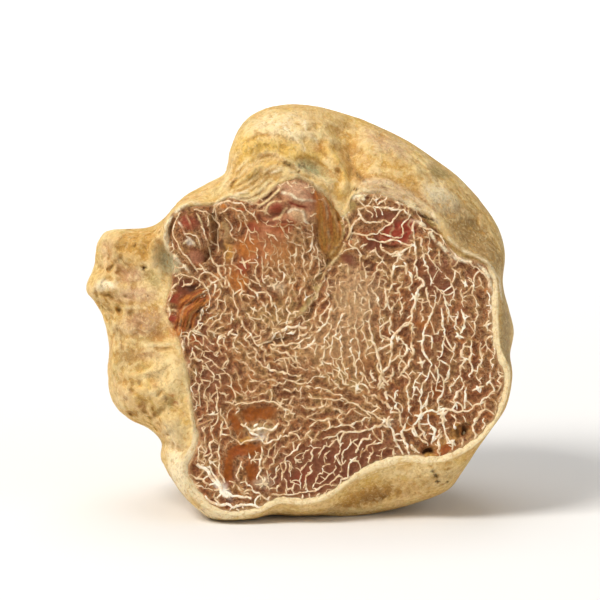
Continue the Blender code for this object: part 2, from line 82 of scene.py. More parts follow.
# The widest line round the body, (u, v, w).
BELLY = (
    (30.4, 20.0, 9), (30.2, 23.3, 10), (30.8, 26.7, 11), (30.0, 30.2, 12), (29.2, 33.6, 12),
    (29.6, 37.8, 13), (28.7, 41.6, 13), (26.2, 45.5, 14), (23.1, 48.9, 14), (19.6, 51.6, 14),
    (15.8, 54.2, 14), (11.5, 56.3, 13), (7.2, 58.0, 13), (2.6, 59.2, 12), (-2.1, 59.4, 11),
    (-5.9, 58.4, 10), (-8.6, 56.2, 9), (-10.2, 52.7, 8), (-10.8, 49.6, 9), (-13.6, 47.9, 9),
    (-16.8, 46.0, 9), (-19.6, 42.9, 8), (-22.1, 41.6, 8), (-27.2, 41.2, 7), (-29.0, 39.5, 7),
    (-29.5, 36.1, 8), (-30.8, 32.7, 8), (-29.7, 31.0, 8), (-28.3, 28.4, 8), (-27.4, 24.6, 8),
    (-27.5, 20.8, 8), (-27.0, 17.0, 8), (-24.9, 14.2, 8), (-21.8, 12.6, 8), (-20.0, 10.8, 7),
    (-19.8, 8.5, 6), (-18.0, 5.0, 6), (-15.4, 1.9, 5), (-12.3, -0.2, 5), (-7.2, -0.2, 5), (-4.2, 0.4, 6),
    (-0.4, 0.2, 7), (3.8, 0.2, 8), (7.2, -0.1, 9), (11.5, 0.6, 9), (16.7, 1.9, 9), (21.1, 3.7, 9),
    (23.2, 6.3, 9), (25.4, 9.8, 8), (27.3, 12.7, 8), (29.4, 15.7, 8),
)

# Swellings and hollows of the front: name, u, v, half length, half width, turn in degrees, lift
# towards the viewer.  The first rows are the body's main forms, and the rest its small ones.
DABS = (
    ("hood crown", -2.5, 55.5, 7.0, 3.6, 8, 2.0),
    ("hood left cheek", -8.0, 51.5, 2.6, 3.6, 0, 1.0),
    ("hollow under the hood", 1.6, 49.8, 2.8, 1.4, -14, -1.9),
    ("hood right cheek", 4.6, 50.8, 1.6, 3.4, 14, 1.1),
    ("dome of flesh", -1.6, 43.6, 5.6, 4.8, 0, 2.6),
    ("pocket beside the dome", 4.3, 40.6, 1.9, 4.6, 8, -1.9),
    ("upper left lobe", -15.6, 40.2, 3.0, 4.6, 8, 1.8),
    ("small top lobe", -9.8, 43.9, 3.0, 1.8, -4, 1.3),
    ("gap beside the lobe", -18.9, 36.8, 1.4, 3.0, 15, -2.4),
    ("ear knob", -24.6, 38.8, 4.2, 2.6, 10, 1.4),
    ("ear nose", -28.0, 33.2, 3.4, 1.5, -8, 1.4),
    ("ear dip", -23.6, 34.6, 2.6, 1.4, 0, -0.6),
    ("ear hollow", -22.6, 27.6, 4.4, 3.0, 0, -0.6),
    ("ear foot", -21.0, 20.0, 5.4, 4.6, 0, 1.9),
    ("ear wart", -24.9, 16.9, 1.9, 1.6, 0, 1.3),
    ("ear toe", -18.4, 13.0, 2.0, 1.9, 0, 1.9),
    ("notch under the ear", -19.0, 10.7, 2.6, 0.7, -20, -1.1),
    ("lower left lip", -17.6, 7.0, 1.7, 4.6, 12, 0.9),
    ("chin hollow", 9.6, 3.6, 5.0, 1.6, 18, -1.1),
    ("chin", 19.8, 5.8, 4.2, 2.2, 8, 0.9),
    ("shoulder", 15.5, 50.6, 8.0, 2.8, -24, 1.0),
    ("shoulder hollow", 24.6, 41.0, 2.0, 3.2, 35, -0.6),
    ("upper right lip", 21.6, 40.6, 4.6, 0.9, -42, 0.9),
    ("right lip", 29.3, 26.5, 0.9, 5.0, 0, 0.5),
    ("rot hole", 18.0, 9.6, 1.0, 0.6, 0, -0.6),
    ("larger rot hole", 22.9, 12.5, 1.3, 1.0, 35, -0.8),
    ("hood dimple", 0.5, 54.0, 1.8, 0.7, -6, -0.35),
    ("hood step", -6.2, 54.2, 1.2, 2.2, 30, 0.3),
    ("glow hollow", 3.6, 52.4, 1.3, 1.0, 30, -0.4),
    ("slit under the hood", -1.9, 50.5, 0.8, 0.3, -30, -1.1),
    ("pit in the ear", -22.2, 35.7, 0.45, 0.24, 25, -0.8),
    ("bead over the nose", -28.0, 35.4, 1.1, 1.0, 0, 0.6),
    ("ear welt", -21.4, 36.4, 2.6, 0.6, 60, 0.5),
    ("ear blister", -25.0, 27.4, 1.5, 1.3, 0, 0.65),
    ("ear shelf", -20.2, 24.9, 1.9, 0.45, 2, 0.6),
    ("shade dent", -24.6, 23.2, 2.2, 1.2, 0, -0.7),
    ("foot knuckle", -17.6, 21.6, 1.0, 1.9, 10, 0.8),
    ("foot ridge", -20.6, 21.4, 2.4, 0.6, 28, 0.7),
    ("foot lump", -21.4, 18.6, 1.3, 1.1, 0, 0.85),
    ("foot spot", -18.4, 16.6, 0.9, 1.0, 0, -0.5),
    ("foot groove", -20.2, 15.2, 1.3, 0.5, 50, -0.9),
    ("wart middle", -24.8, 16.9, 0.35, 0.3, 0, -0.35),
    ("pin hole", 19.2, 6.35, 0.26, 0.24, 0, -0.6),
    ("second pin hole", 19.5, 5.45, 0.24, 0.2, 0, -0.6),
    ("third pin hole", 21.0, 5.3, 0.2, 0.2, 0, -0.5),
    ("fourth pin hole", 18.9, 6.95, 0.16, 0.16, 0, -0.4),
    ("shoulder dent", 12.2, 50.4, 1.4, 1.0, -30, -0.45),
    ("shoulder bead", 9.4, 53.4, 0.9, 0.7, 0, 0.45),
    ("gap under the great vein", -3.0, 25.6, 1.6, 0.42, 14, -0.5),
    ("sunk patch", -6.4, 15.1, 3.2, 1.0, 3, -0.35),
    ("sunk curved patch", -8.6, 10.6, 1.4, 2.6, 30, -0.3),
    ("torn hollow", -16.2, 33.2, 2.0, 1.2, -30, -0.9),
    ("torn cell", -18.1, 28.5, 0.9, 0.8, 0, 0.5),
    ("torn cell, high", -18.0, 31.6, 1.0, 0.7, 20, 0.45),
    ("torn lobe", -15.3, 31.6, 1.9, 0.42, 28, 0.75),
    ("torn lobe, middle", -14.9, 30.5, 2.0, 0.42, 24, 0.7),
    ("torn lobe, low", -15.9, 29.4, 1.9, 0.5, 40, 0.65),
    ("torn foot", -16.8, 27.4, 1.6, 0.6, 62, 0.5),
    ("ear top bump", -26.2, 39.8, 1.2, 1.0, 0, 0.5),
    ("ear top dip", -23.6, 40.4, 0.9, 1.2, 0, -0.45),
    ("ear bump", -20.9, 39.2, 0.9, 1.4, 0, 0.4),
    ("ear side dent", -27.2, 36.6, 0.7, 1.2, 20, -0.5),
    ("under the nose", -28.2, 31.0, 1.2, 0.6, -20, -0.5),
    ("blush bump", -21.6, 28.2, 1.6, 1.2, 0, 0.45),
    ("blush dent", -20.2, 26.2, 1.2, 0.6, 0, -0.4),
    ("foot bump, high", -23.2, 20.6, 1.1, 0.9, 0, 0.55),
    ("foot bump, right", -18.6, 18.8, 1.0, 1.2, 0, 0.55),
    ("foot dent", -21.9, 16.6, 0.8, 0.8, 0, -0.5),
    ("foot bump, low", -20.2, 16.9, 0.7, 0.6, 0, 0.5),
    ("dome layer", -2.6, 44.9, 2.9, 0.8, 22, 0.6),
    ("dome layer, low", -1.2, 42.6, 2.6, 0.7, 8, 0.5),
    ("dome knob", 0.4, 45.8, 1.3, 1.5, -20, 0.6),
    ("dome pit", -3.4, 43.3, 1.5, 0.55, 10, -0.7),
    ("dome foot", -4.6, 40.6, 2.2, 0.8, -20, 0.5),
    ("brown pocket", 7.0, 36.9, 1.2, 0.7, -15, -0.5),
    ("red pocket", 13.6, 40.4, 2.4, 1.2, 12, -0.25),
)


class Tone(Enum):
    """Colours that the flesh, the skin and the veins are tinted with, linear."""

    CREAM = (0.84, 0.65, 0.34)
    PALE = (0.93, 0.81, 0.55)
    WHITE = (0.86, 0.80, 0.70)
    YELLOW = (0.76, 0.49, 0.12)
    OCHRE = (0.56, 0.30, 0.065)
    ORANGE = (0.52, 0.18, 0.028)
    RUST = (0.34, 0.075, 0.016)
    RED = (0.27, 0.042, 0.020)
    BROWN = (0.20, 0.090, 0.026)
    UMBER = (0.070, 0.028, 0.010)
    # Painted shade inside holes, pits and slits, near black.
    BLACK = (0.012, 0.008, 0.005)
    GOLD = (0.46, 0.26, 0.095)
    BEIGE = (0.60, 0.39, 0.20)
    PINK = (0.48, 0.20, 0.105)
    MAROON = (0.17, 0.048, 0.024)
    CRIMSON = (0.29, 0.030, 0.016)
    AMBER = (0.27, 0.066, 0.003)
    GREY = (0.37, 0.375, 0.20)
    OLIVE = (0.38, 0.27, 0.09)
    STONE = (0.43, 0.29, 0.125)
    BLUSH = (0.56, 0.33, 0.19)
    ROSE = (0.46, 0.255, 0.125)
    MOSS = (0.58, 0.53, 0.32)
    TAN = (0.36, 0.215, 0.075)


TINT_EDGE = 1.6  # how steep the side of a tinted place is
TINT_STRAYS = ((1.6, 0.50), (0.7, 0.24))  # width and height of the wandering of its edge
LINE_BREAKS = ((1.5, 1.3), (0.6, 0.8))  # the same of the strength of a line's tint
LINE_FADE = 0.1  # share of its run over which the tint dies away at each end

# Tinted places in the flesh: name, u, v, half length, half width, turn in degrees, tone, strength.
FLESH_TINTS = (
    ("golden middle", 3.0, 22.0, 13.0, 9.0, 0, Tone.GOLD, 0.45),
    ("dark left side", -12.6, 20.0, 3.6, 9.0, 0, Tone.MAROON, 0.6),
    ("dark right side", 25.6, 22.0, 4.4, 11.0, 0, Tone.MAROON, 0.38),
    ("dark foot", 4.0, 7.6, 15.0, 5.6, 18, Tone.MAROON, 0.74),
    ("right side", 18.5, 24.0, 4.4, 9.0, 0, Tone.MAROON, 0.55),
    ("dark upper right", 19.4, 35.0, 6.0, 4.0, -30, Tone.MAROON, 0.6),
    ("haze", 8.2, 32.2, 4.8, 4.9, 0, Tone.BEIGE, 0.62),
    ("lower haze", 5.4, 25.0, 6.4, 4.4, 0, Tone.BEIGE, 0.3),
    ("olive middle", -4.6, 29.4, 4.6, 2.6, 10, Tone.OLIVE, 0.45),
    ("pink streaks", -5.0, 39.4, 3.4, 3.0, -45, Tone.PINK, 0.6),
    ("upper middle flesh", -2.0, 35.4, 3.6, 4.0, 0, Tone.GOLD, 0.5),
    ("warm cells", -8.0, 36.8, 4.2, 4.8, 0, Tone.RUST, 0.48),
    ("warm cells, right", -2.4, 39.0, 3.2, 3.0, 0, Tone.ORANGE, 0.38),
    ("golden cells", -10.3, 38.0, 0.9, 1.4, 0, Tone.OCHRE, 0.7),
    ("golden column", -9.6, 33.6, 1.2, 2.4, 0, Tone.ORANGE, 0.48),
    ("orange cell", -7.6, 38.6, 1.7, 1.5, 20, Tone.ORANGE, 0.68),
    ("orange cell, low", -8.2, 33.8, 1.0, 1.7, 0, Tone.ORANGE, 0.58),
    ("red cell", -8.1, 35.8, 0.8, 0.8, 0, Tone.RED, 0.85),
    ("flesh of the dome", -2.0, 43.4, 4.6, 3.4, 0, Tone.PINK, 0.6),
    ("tan of the dome", -0.2, 43.2, 1.6, 0.8, -10, Tone.BEIGE, 0.8),
    ("top of the dome", -0.2, 46.6, 3.0, 1.6, -14, Tone.BLUSH, 0.92),
    ("right of the dome", 1.4, 44.6, 0.9, 1.6, 0, Tone.PINK, 0.7),
    ("red of the dome", -3.6, 43.9, 1.0, 0.8, 20, Tone.RED, 0.9),
    ("red of the dome, low", -2.4, 41.6, 2.0, 0.7, 15, Tone.RUST, 0.75),
    ("left of the dome", -6.2, 42.6, 1.4, 1.8, 0, Tone.AMBER, 0.5),
    ("cleft of the dome", 2.3, 42.4, 0.45, 1.8, -8, Tone.UMBER, 0.8),
    ("rust by the cleft", 2.3, 45.6, 0.4, 1.6, 4, Tone.RUST, 0.85),
    ("cream chunk", 3.5, 41.8, 0.7, 0.6, 0, Tone.PALE, 0.8),
    ("pocket", 4.3, 40.8, 1.9, 4.6, 8, Tone.OCHRE, 0.92),
    ("pocket, bright", 3.8, 43.6, 1.0, 3.2, 16, Tone.ORANGE, 0.8),
    ("olive cell", 7.2, 44.6, 1.1, 1.3, 0, Tone.OLIVE, 0.85),
    ("beside the crease", 8.8, 40.6, 1.4, 1.6, -20, Tone.RUST, 0.6),
    ("brown cell", 6.8, 37.0, 1.3, 1.2, -15, Tone.MAROON, 0.92),
    ("red pocket", 13.6, 40.6, 2.9, 1.9, 14, Tone.CRIMSON, 0.97),
    ("red pocket, high", 15.2, 41.8, 1.3, 0.8, 0, Tone.CRIMSON, 0.9),
    ("red pocket, low", 10.4, 38.8, 1.6, 1.0, -20, Tone.MAROON, 0.9),
    ("flesh over the pocket", 11.6, 43.2, 3.4, 1.3, -4, Tone.MAROON, 0.8),
    ("torn hollow", -16.4, 33.0, 2.2, 1.4, -30, Tone.MAROON, 0.9),
    # Painted shade in the torn hole.
    ("torn hole", -15.2, 33.0, 0.8, 0.6, 0, Tone.BLACK, 0.8),
    ("torn cell, high", -18.0, 31.4, 1.3, 0.9, 20, Tone.RED, 0.85),
    ("torn cell", -18.1, 28.5, 1.0, 0.8, 0, Tone.RED, 0.9),
    ("torn gap", -16.2, 30.2, 1.6, 1.4, 20, Tone.RUST, 0.9),
    ("torn lobe", -15.3, 31.6, 2.0, 0.42, 28, Tone.ORANGE, 0.95),
    ("torn lobe, middle", -14.9, 30.4, 2.1, 0.42, 24, Tone.ORANGE, 0.9),
    ("torn lobe, low", -15.9, 29.3, 1.9, 0.5, 40, Tone.ORANGE, 0.9),
    ("torn foot", -16.8, 27.3, 1.7, 0.7, 62, Tone.ORANGE, 0.9),
    ("torn brown", -14.8, 27.8, 1.1, 0.9, 0, Tone.MAROON, 0.8),
    ("low cell", -14.9, 25.4, 1.0, 0.8, 0, Tone.RUST, 0.7),
    ("amber cells", -8.2, 18.8, 3.0, 1.2, 20, Tone.AMBER, 0.5),
    ("smooth patch", -5.9, 15.0, 3.1, 1.2, 2, Tone.AMBER, 0.98),
    ("gold over the arch", -7.6, 11.3, 1.6, 0.5, 6, Tone.OCHRE, 0.8),
    ("smooth patch, left", -9.0, 13.4, 0.8, 2.2, 33, Tone.AMBER, 0.9),
    ("arc under the patch", -5.4, 12.9, 2.8, 0.45, 4, Tone.STONE, 0.85),
    ("arc, grey", -5.4, 11.7, 1.3, 0.9, 0, Tone.WHITE, 0.62),
    ("arch, left", -10.2, 7.2, 0.8, 2.7, -4, Tone.AMBER, 0.97),
    ("arch, top", -7.8, 9.9, 3.0, 0.85, 4, Tone.AMBER, 0.95),
    ("arch, right", -6.9, 6.6, 0.75, 2.4, 4, Tone.AMBER, 0.92),
    ("arch, dark", -9.0, 9.4, 1.2, 1.0, 0, Tone.RUST, 0.6),
    ("left corner", -13.0, 9.6, 1.2, 0.7, 30, Tone.RED, 0.6),
    ("orange flesh, right", 17.6, 27.8, 1.2, 0.8, 0, Tone.ORANGE, 0.45),
    ("orange flesh, low right", 19.4, 18.2, 1.1, 1.4, 0, Tone.AMBER, 0.55),
    ("orange flesh, by the hub", 14.8, 12.9, 1.1, 0.8, 30, Tone.ORANGE, 0.5),
    ("orange flesh, over the hub", 18.6, 15.0, 1.2, 0.7, 0, Tone.ORANGE, 0.45),
    ("orange flesh, middle", 9.0, 22.2, 1.4, 1.0, 0, Tone.AMBER, 0.35),
    ("red flesh, right", 23.0, 29.6, 1.3, 1.6, 0, Tone.RED, 0.4),
    ("red flesh, foot", 0.4, 6.0, 1.6, 1.0, 20, Tone.RED, 0.4),
    ("round the rot holes", 21.0, 11.2, 3.0, 1.3, 35, Tone.OCHRE, 0.5),
    ("beside the rot hole", 20.6, 9.9, 1.8, 0.7, 25, Tone.RUST, 0.8),
    ("rot hole", 18.1, 9.6, 0.9, 0.5, 20, Tone.BROWN, 0.85),
    ("larger rot hole", 22.9, 12.6, 1.3, 0.9, 35, Tone.BROWN, 0.85),
    # The dark gap under the great vein is a painted shadow.
    ("gap under the great vein", -3.0, 25.5, 1.6, 0.42, 14, Tone.UMBER, 0.85),
    ("white node", 12.4, 13.9, 0.9, 0.8, 0, Tone.PALE, 0.35),
    ("grey node", 8.0, 18.9, 1.3, 1.0, 0, Tone.STONE, 0.6),
    ("white node, top", 14.0, 37.2, 1.5, 0.7, -8, Tone.PALE, 0.35),
    ("white fleck", -3.2, 32.8, 1.1, 0.8, 0, Tone.PALE, 0.35),
    ("white node, foot", -5.4, 5.2, 1.5, 0.7, 10, Tone.PALE, 0.35),
    ("white node, left foot", -11.2, 4.6, 0.8, 2.6, 40, Tone.WHITE, 0.6),
    ("grey lobe", -15.8, 39.4, 0.9, 0.7, -20, Tone.WHITE, 0.6),
    ("lobe cells", -16.0, 42.2, 1.6, 1.4, -30, Tone.RED, 0.8),
    ("lobe cells, right", -14.0, 41.4, 0.9, 1.6, 20, Tone.MAROON, 0.65),
    ("lobe foot", -14.6, 37.2, 1.1, 1.4, 20, Tone.PINK, 0.85),
    ("gap beside the lobe", -18.2, 36.4, 1.1, 1.9, 24, Tone.MOSS, 0.95),
    ("top lobe cell", -10.9, 44.3, 0.7, 0.4, 0, Tone.ORANGE, 0.85),
    ("top lobe cell, right", -8.7, 44.0, 0.7, 0.4, -10, Tone.RUST, 0.85),
    ("cell under the top lobe", -8.4, 42.2, 0.8, 0.7, 0, Tone.AMBER, 0.7),
    ("cell by the dome", -6.6, 41.4, 0.8, 0.6, 0, Tone.RED, 0.65),
    ("green shade", -10.7, 41.2, 0.6, 1.8, 6, Tone.STONE, 0.75),
    ("dark slit", -11.0, 39.0, 0.4, 1.2, 10, Tone.UMBER, 0.9),
)

# Tinted places on the skin of the front, laid out the same way.
SKIN_TINTS = (
    ("hood fill", -3.4, 52.4, 5.6, 2.4, 8, Tone.YELLOW, 0.7),
    ("hood crown", -3.0, 56.8, 5.0, 1.6, 6, Tone.PALE, 0.55),
    ("hood light", -2.0, 54.6, 3.8, 1.0, 4, Tone.PALE, 0.6),
    ("hood left", -8.4, 52.2, 1.9, 3.6, -12, Tone.YELLOW, 0.95),
    ("hood inside", -5.2, 52.8, 4.4, 1.5, 14, Tone.YELLOW, 0.75),
    ("hood right", 3.0, 52.4, 1.9, 1.2, 30, Tone.OCHRE, 0.85),
    ("hood right, orange", 2.4, 53.0, 1.0, 0.6, 20, Tone.ORANGE, 0.45),
    ("hood inside, right", 1.2, 51.8, 2.4, 0.8, -14, Tone.YELLOW, 0.9),
    ("hood back", 3.4, 57.4, 4.0, 1.6, -10, Tone.OCHRE, 0.45),
    ("mould", 1.3, 49.6, 2.9, 1.5, -20, Tone.GREY, 0.92),
    # Painted shade in the slit under the hood.
    ("slit", -1.8, 50.5, 0.9, 0.22, -32, Tone.BLACK, 0.98),
    ("mould speck", 0.1, 50.0, 0.6, 0.24, 30, Tone.UMBER, 0.8),
    ("mould speck, middle", 1.1, 49.3, 0.6, 0.22, -40, Tone.UMBER, 0.75),
    ("mould speck, low", 2.2, 48.8, 0.6, 0.24, 10, Tone.UMBER, 0.8),
    ("mould speck, right", 2.7, 49.7, 0.5, 0.22, 60, Tone.OLIVE, 0.85),
    ("mould speck, high", 1.3, 50.5, 0.7, 0.22, 0, Tone.OLIVE, 0.8),
    ("below the tip", 4.8, 46.6, 1.8, 1.1, -30, Tone.OCHRE, 0.97),
    ("band under the shoulder", 12.6, 46.9, 5.6, 1.3, -16, Tone.ROSE, 0.97),
    ("hood left, ochre", -9.4, 50.6, 1.2, 2.2, -14, Tone.OCHRE, 0.6),
    ("fold under the tip", 3.2, 47.6, 1.3, 0.5, -35, Tone.ORANGE, 0.55),
    ("hood left, light", -6.4, 50.6, 1.6, 0.6, 35, Tone.CREAM, 0.6),
    ("right lip", 29.2, 26.0, 1.0, 6.4, 0, Tone.STONE, 0.95),
    ("valley", 7.4, 51.0, 1.4, 4.4, 10, Tone.OCHRE, 0.5),
    ("shoulder light", 12.6, 53.6, 5.0, 1.8, -30, Tone.BLUSH, 0.6),
    ("shoulder", 14.0, 49.8, 4.4, 1.6, -26, Tone.OCHRE, 0.55),
    ("orange by the edge", 15.6, 47.7, 2.4, 0.8, -20, Tone.OCHRE, 0.9),
    ("dark ring", 19.6, 49.6, 2.2, 1.6, -30, Tone.BROWN, 0.55),
    ("olive spot", 20.0, 49.4, 1.5, 1.1, -30, Tone.OLIVE, 0.95),
    # Partly pale skin, partly a painted highlight on the shoulder's fold.
    ("shoulder end", 20.4, 45.4, 3.4, 1.7, -38, Tone.PALE, 0.8),
    # Partly the skin's own tan, partly painted shade that darkens this right side.
    ("upper right", 24.4, 39.8, 3.8, 7.4, 40, Tone.TAN, 0.95),
    ("ear knob", -24.8, 39.4, 3.2, 2.2, 8, Tone.OCHRE, 0.62),
    ("ear knob shade", -27.8, 38.4, 1.3, 2.2, 0, Tone.BLUSH, 0.7),
    ("orange patch", -21.7, 38.7, 1.9, 2.6, 10, Tone.OCHRE, 0.95),
    ("orange patch, foot", -22.6, 37.0, 1.2, 0.7, 0, Tone.OCHRE, 0.7),
    ("orange patch, left", -24.2, 39.0, 2.8, 1.6, 10, Tone.OCHRE, 0.9),
    ("ear dip", -24.2, 34.8, 2.4, 1.6, 0, Tone.BLUSH, 0.8),
    # Painted shade in the pit.
    ("pit in the ear", -22.2, 35.7, 0.45, 0.26, 25, Tone.BLACK, 0.95),
    ("over the nose", -28.4, 35.4, 1.0, 0.8, 0, Tone.OCHRE, 0.5),
    ("olive beside the ear", -20.9, 34.0, 1.7, 1.3, -20, Tone.OLIVE, 0.85),
    # A painted highlight on the ear's nose.
    ("ear nose", -27.9, 33.2, 2.0, 0.9, 4, Tone.PALE, 0.95),
    ("under the nose", -26.8, 31.2, 1.8, 0.8, -6, Tone.OCHRE, 0.7),
    ("ear side", -27.6, 29.4, 1.0, 1.4, 30, Tone.STONE, 0.8),
    ("ear blush", -22.2, 28.0, 3.6, 2.6, 0, Tone.ROSE, 0.9),
    ("ear blister", -24.8, 27.2, 1.2, 1.0, 0, Tone.BEIGE, 0.6),
    ("blush edge", -19.8, 25.9, 1.4, 0.7, 0, Tone.ORANGE, 0.45),
    ("ear shade", -24.6, 23.0, 2.8, 1.9, 0, Tone.TAN, 0.8),
    ("ear shade, right", -21.2, 23.4, 1.8, 0.9, 0, Tone.ROSE, 0.8),
    ("ear shade, foot", -26.4, 20.6, 1.0, 2.0, 0, Tone.OLIVE, 0.65),
    ("ear foot", -20.0, 20.4, 3.6, 2.8, 0, Tone.YELLOW, 0.6),
    ("ear foot light", -18.8, 20.6, 2.6, 3.4, 10, Tone.CREAM, 0.7),
    ("foot ridge", -21.4, 20.4, 2.2, 0.6, 28, Tone.CREAM, 0.7),
    ("wart", -24.9, 17.6, 1.5, 1.4, 0, Tone.BEIGE, 0.6),
    ("wart middle", -24.8, 16.9, 0.35, 0.3, 0, Tone.BROWN, 0.8),
    ("under the wart", -23.4, 14.4, 1.6, 0.6, -30, Tone.OCHRE, 0.5),
    ("foot groove", -20.2, 15.2, 1.1, 0.5, 50, Tone.OLIVE, 0.75),
    ("foot spot", -18.4, 16.6, 0.8, 1.0, 0, Tone.OLIVE, 0.7),
    ("foot spot, red", -17.8, 16.4, 0.4, 0.4, 0, Tone.RUST, 0.6),
    ("toe", -18.4, 13.0, 1.7, 1.6, 0, Tone.STONE, 0.7),
    ("gap beside the lobe", -19.2, 36.8, 1.4, 2.3, 22, Tone.MOSS, 0.95),
    ("ear middle", -23.4, 31.9, 3.2, 1.2, 0, Tone.BLUSH, 0.78),
    ("ear knob, red side", -28.6, 40.6, 1.0, 0.7, 30, Tone.ROSE, 0.7),
    ("ear top", -25.8, 41.4, 2.2, 0.5, 4, Tone.OLIVE, 0.6),
    ("under the knob", -25.8, 36.9, 0.8, 0.5, 0, Tone.STONE, 0.75),
    ("by the pit", -23.6, 36.2, 0.8, 0.4, 20, Tone.OCHRE, 0.8),
    ("blush, left", -26.2, 26.2, 1.0, 2.0, 20, Tone.STONE, 0.65),
    ("blush, low", -22.4, 25.4, 1.6, 0.6, 0, Tone.OLIVE, 0.6),
    ("foot speck, orange", -20.6, 19.0, 0.6, 0.4, 40, Tone.ORANGE, 0.5),
    ("foot speck, green", -22.4, 21.6, 0.8, 0.4, -30, Tone.OLIVE, 0.7),
    ("foot speck, low", -19.4, 17.4, 0.5, 0.5, 0, Tone.BROWN, 0.65),
    ("foot speck, rust", -18.2, 17.6, 0.4, 0.3, 0, Tone.ORANGE, 0.65),
    ("foot cream", -21.0, 17.8, 0.9, 0.6, 10, Tone.CREAM, 0.75),
    ("torn edge, middle", -18.9, 29.9, 0.8, 0.6, 0, Tone.ORANGE, 0.85),
    ("torn edge, foot", -18.0, 26.6, 0.8, 1.0, 0, Tone.ORANGE, 0.9),
    ("lower left lip", -17.4, 6.8, 2.0, 5.2, 10, Tone.PALE, 0.8),
    ("foot lip", -11.6, 0.9, 5.6, 1.2, 0, Tone.PALE, 0.7),
    ("chin hollow", 9.4, 3.2, 4.8, 1.6, 16, Tone.OCHRE, 0.88),
    ("chin hollow, deep", 10.6, 3.4, 3.2, 1.0, 18, Tone.BROWN, 0.55),
    ("chin", 19.4, 5.6, 3.4, 1.6, 10, Tone.STONE, 0.6),
    ("chin top", 16.0, 7.0, 5.0, 0.8, 8, Tone.CREAM, 0.6),
    ("chin right", 24.6, 9.4, 1.4, 1.6, 30, Tone.OCHRE, 0.5),
    # Painted shade inside the pin holes.
    ("pin hole", 19.2, 6.35, 0.3, 0.26, 0, Tone.BLACK, 0.95),
    ("second pin hole", 19.5, 5.45, 0.28, 0.24, 0, Tone.BLACK, 0.95),
    ("third pin hole", 21.0, 5.3, 0.24, 0.22, 0, Tone.BLACK, 0.9),
    ("fourth pin hole", 18.9, 6.95, 0.2, 0.2, 0, Tone.BLACK, 0.8),
)

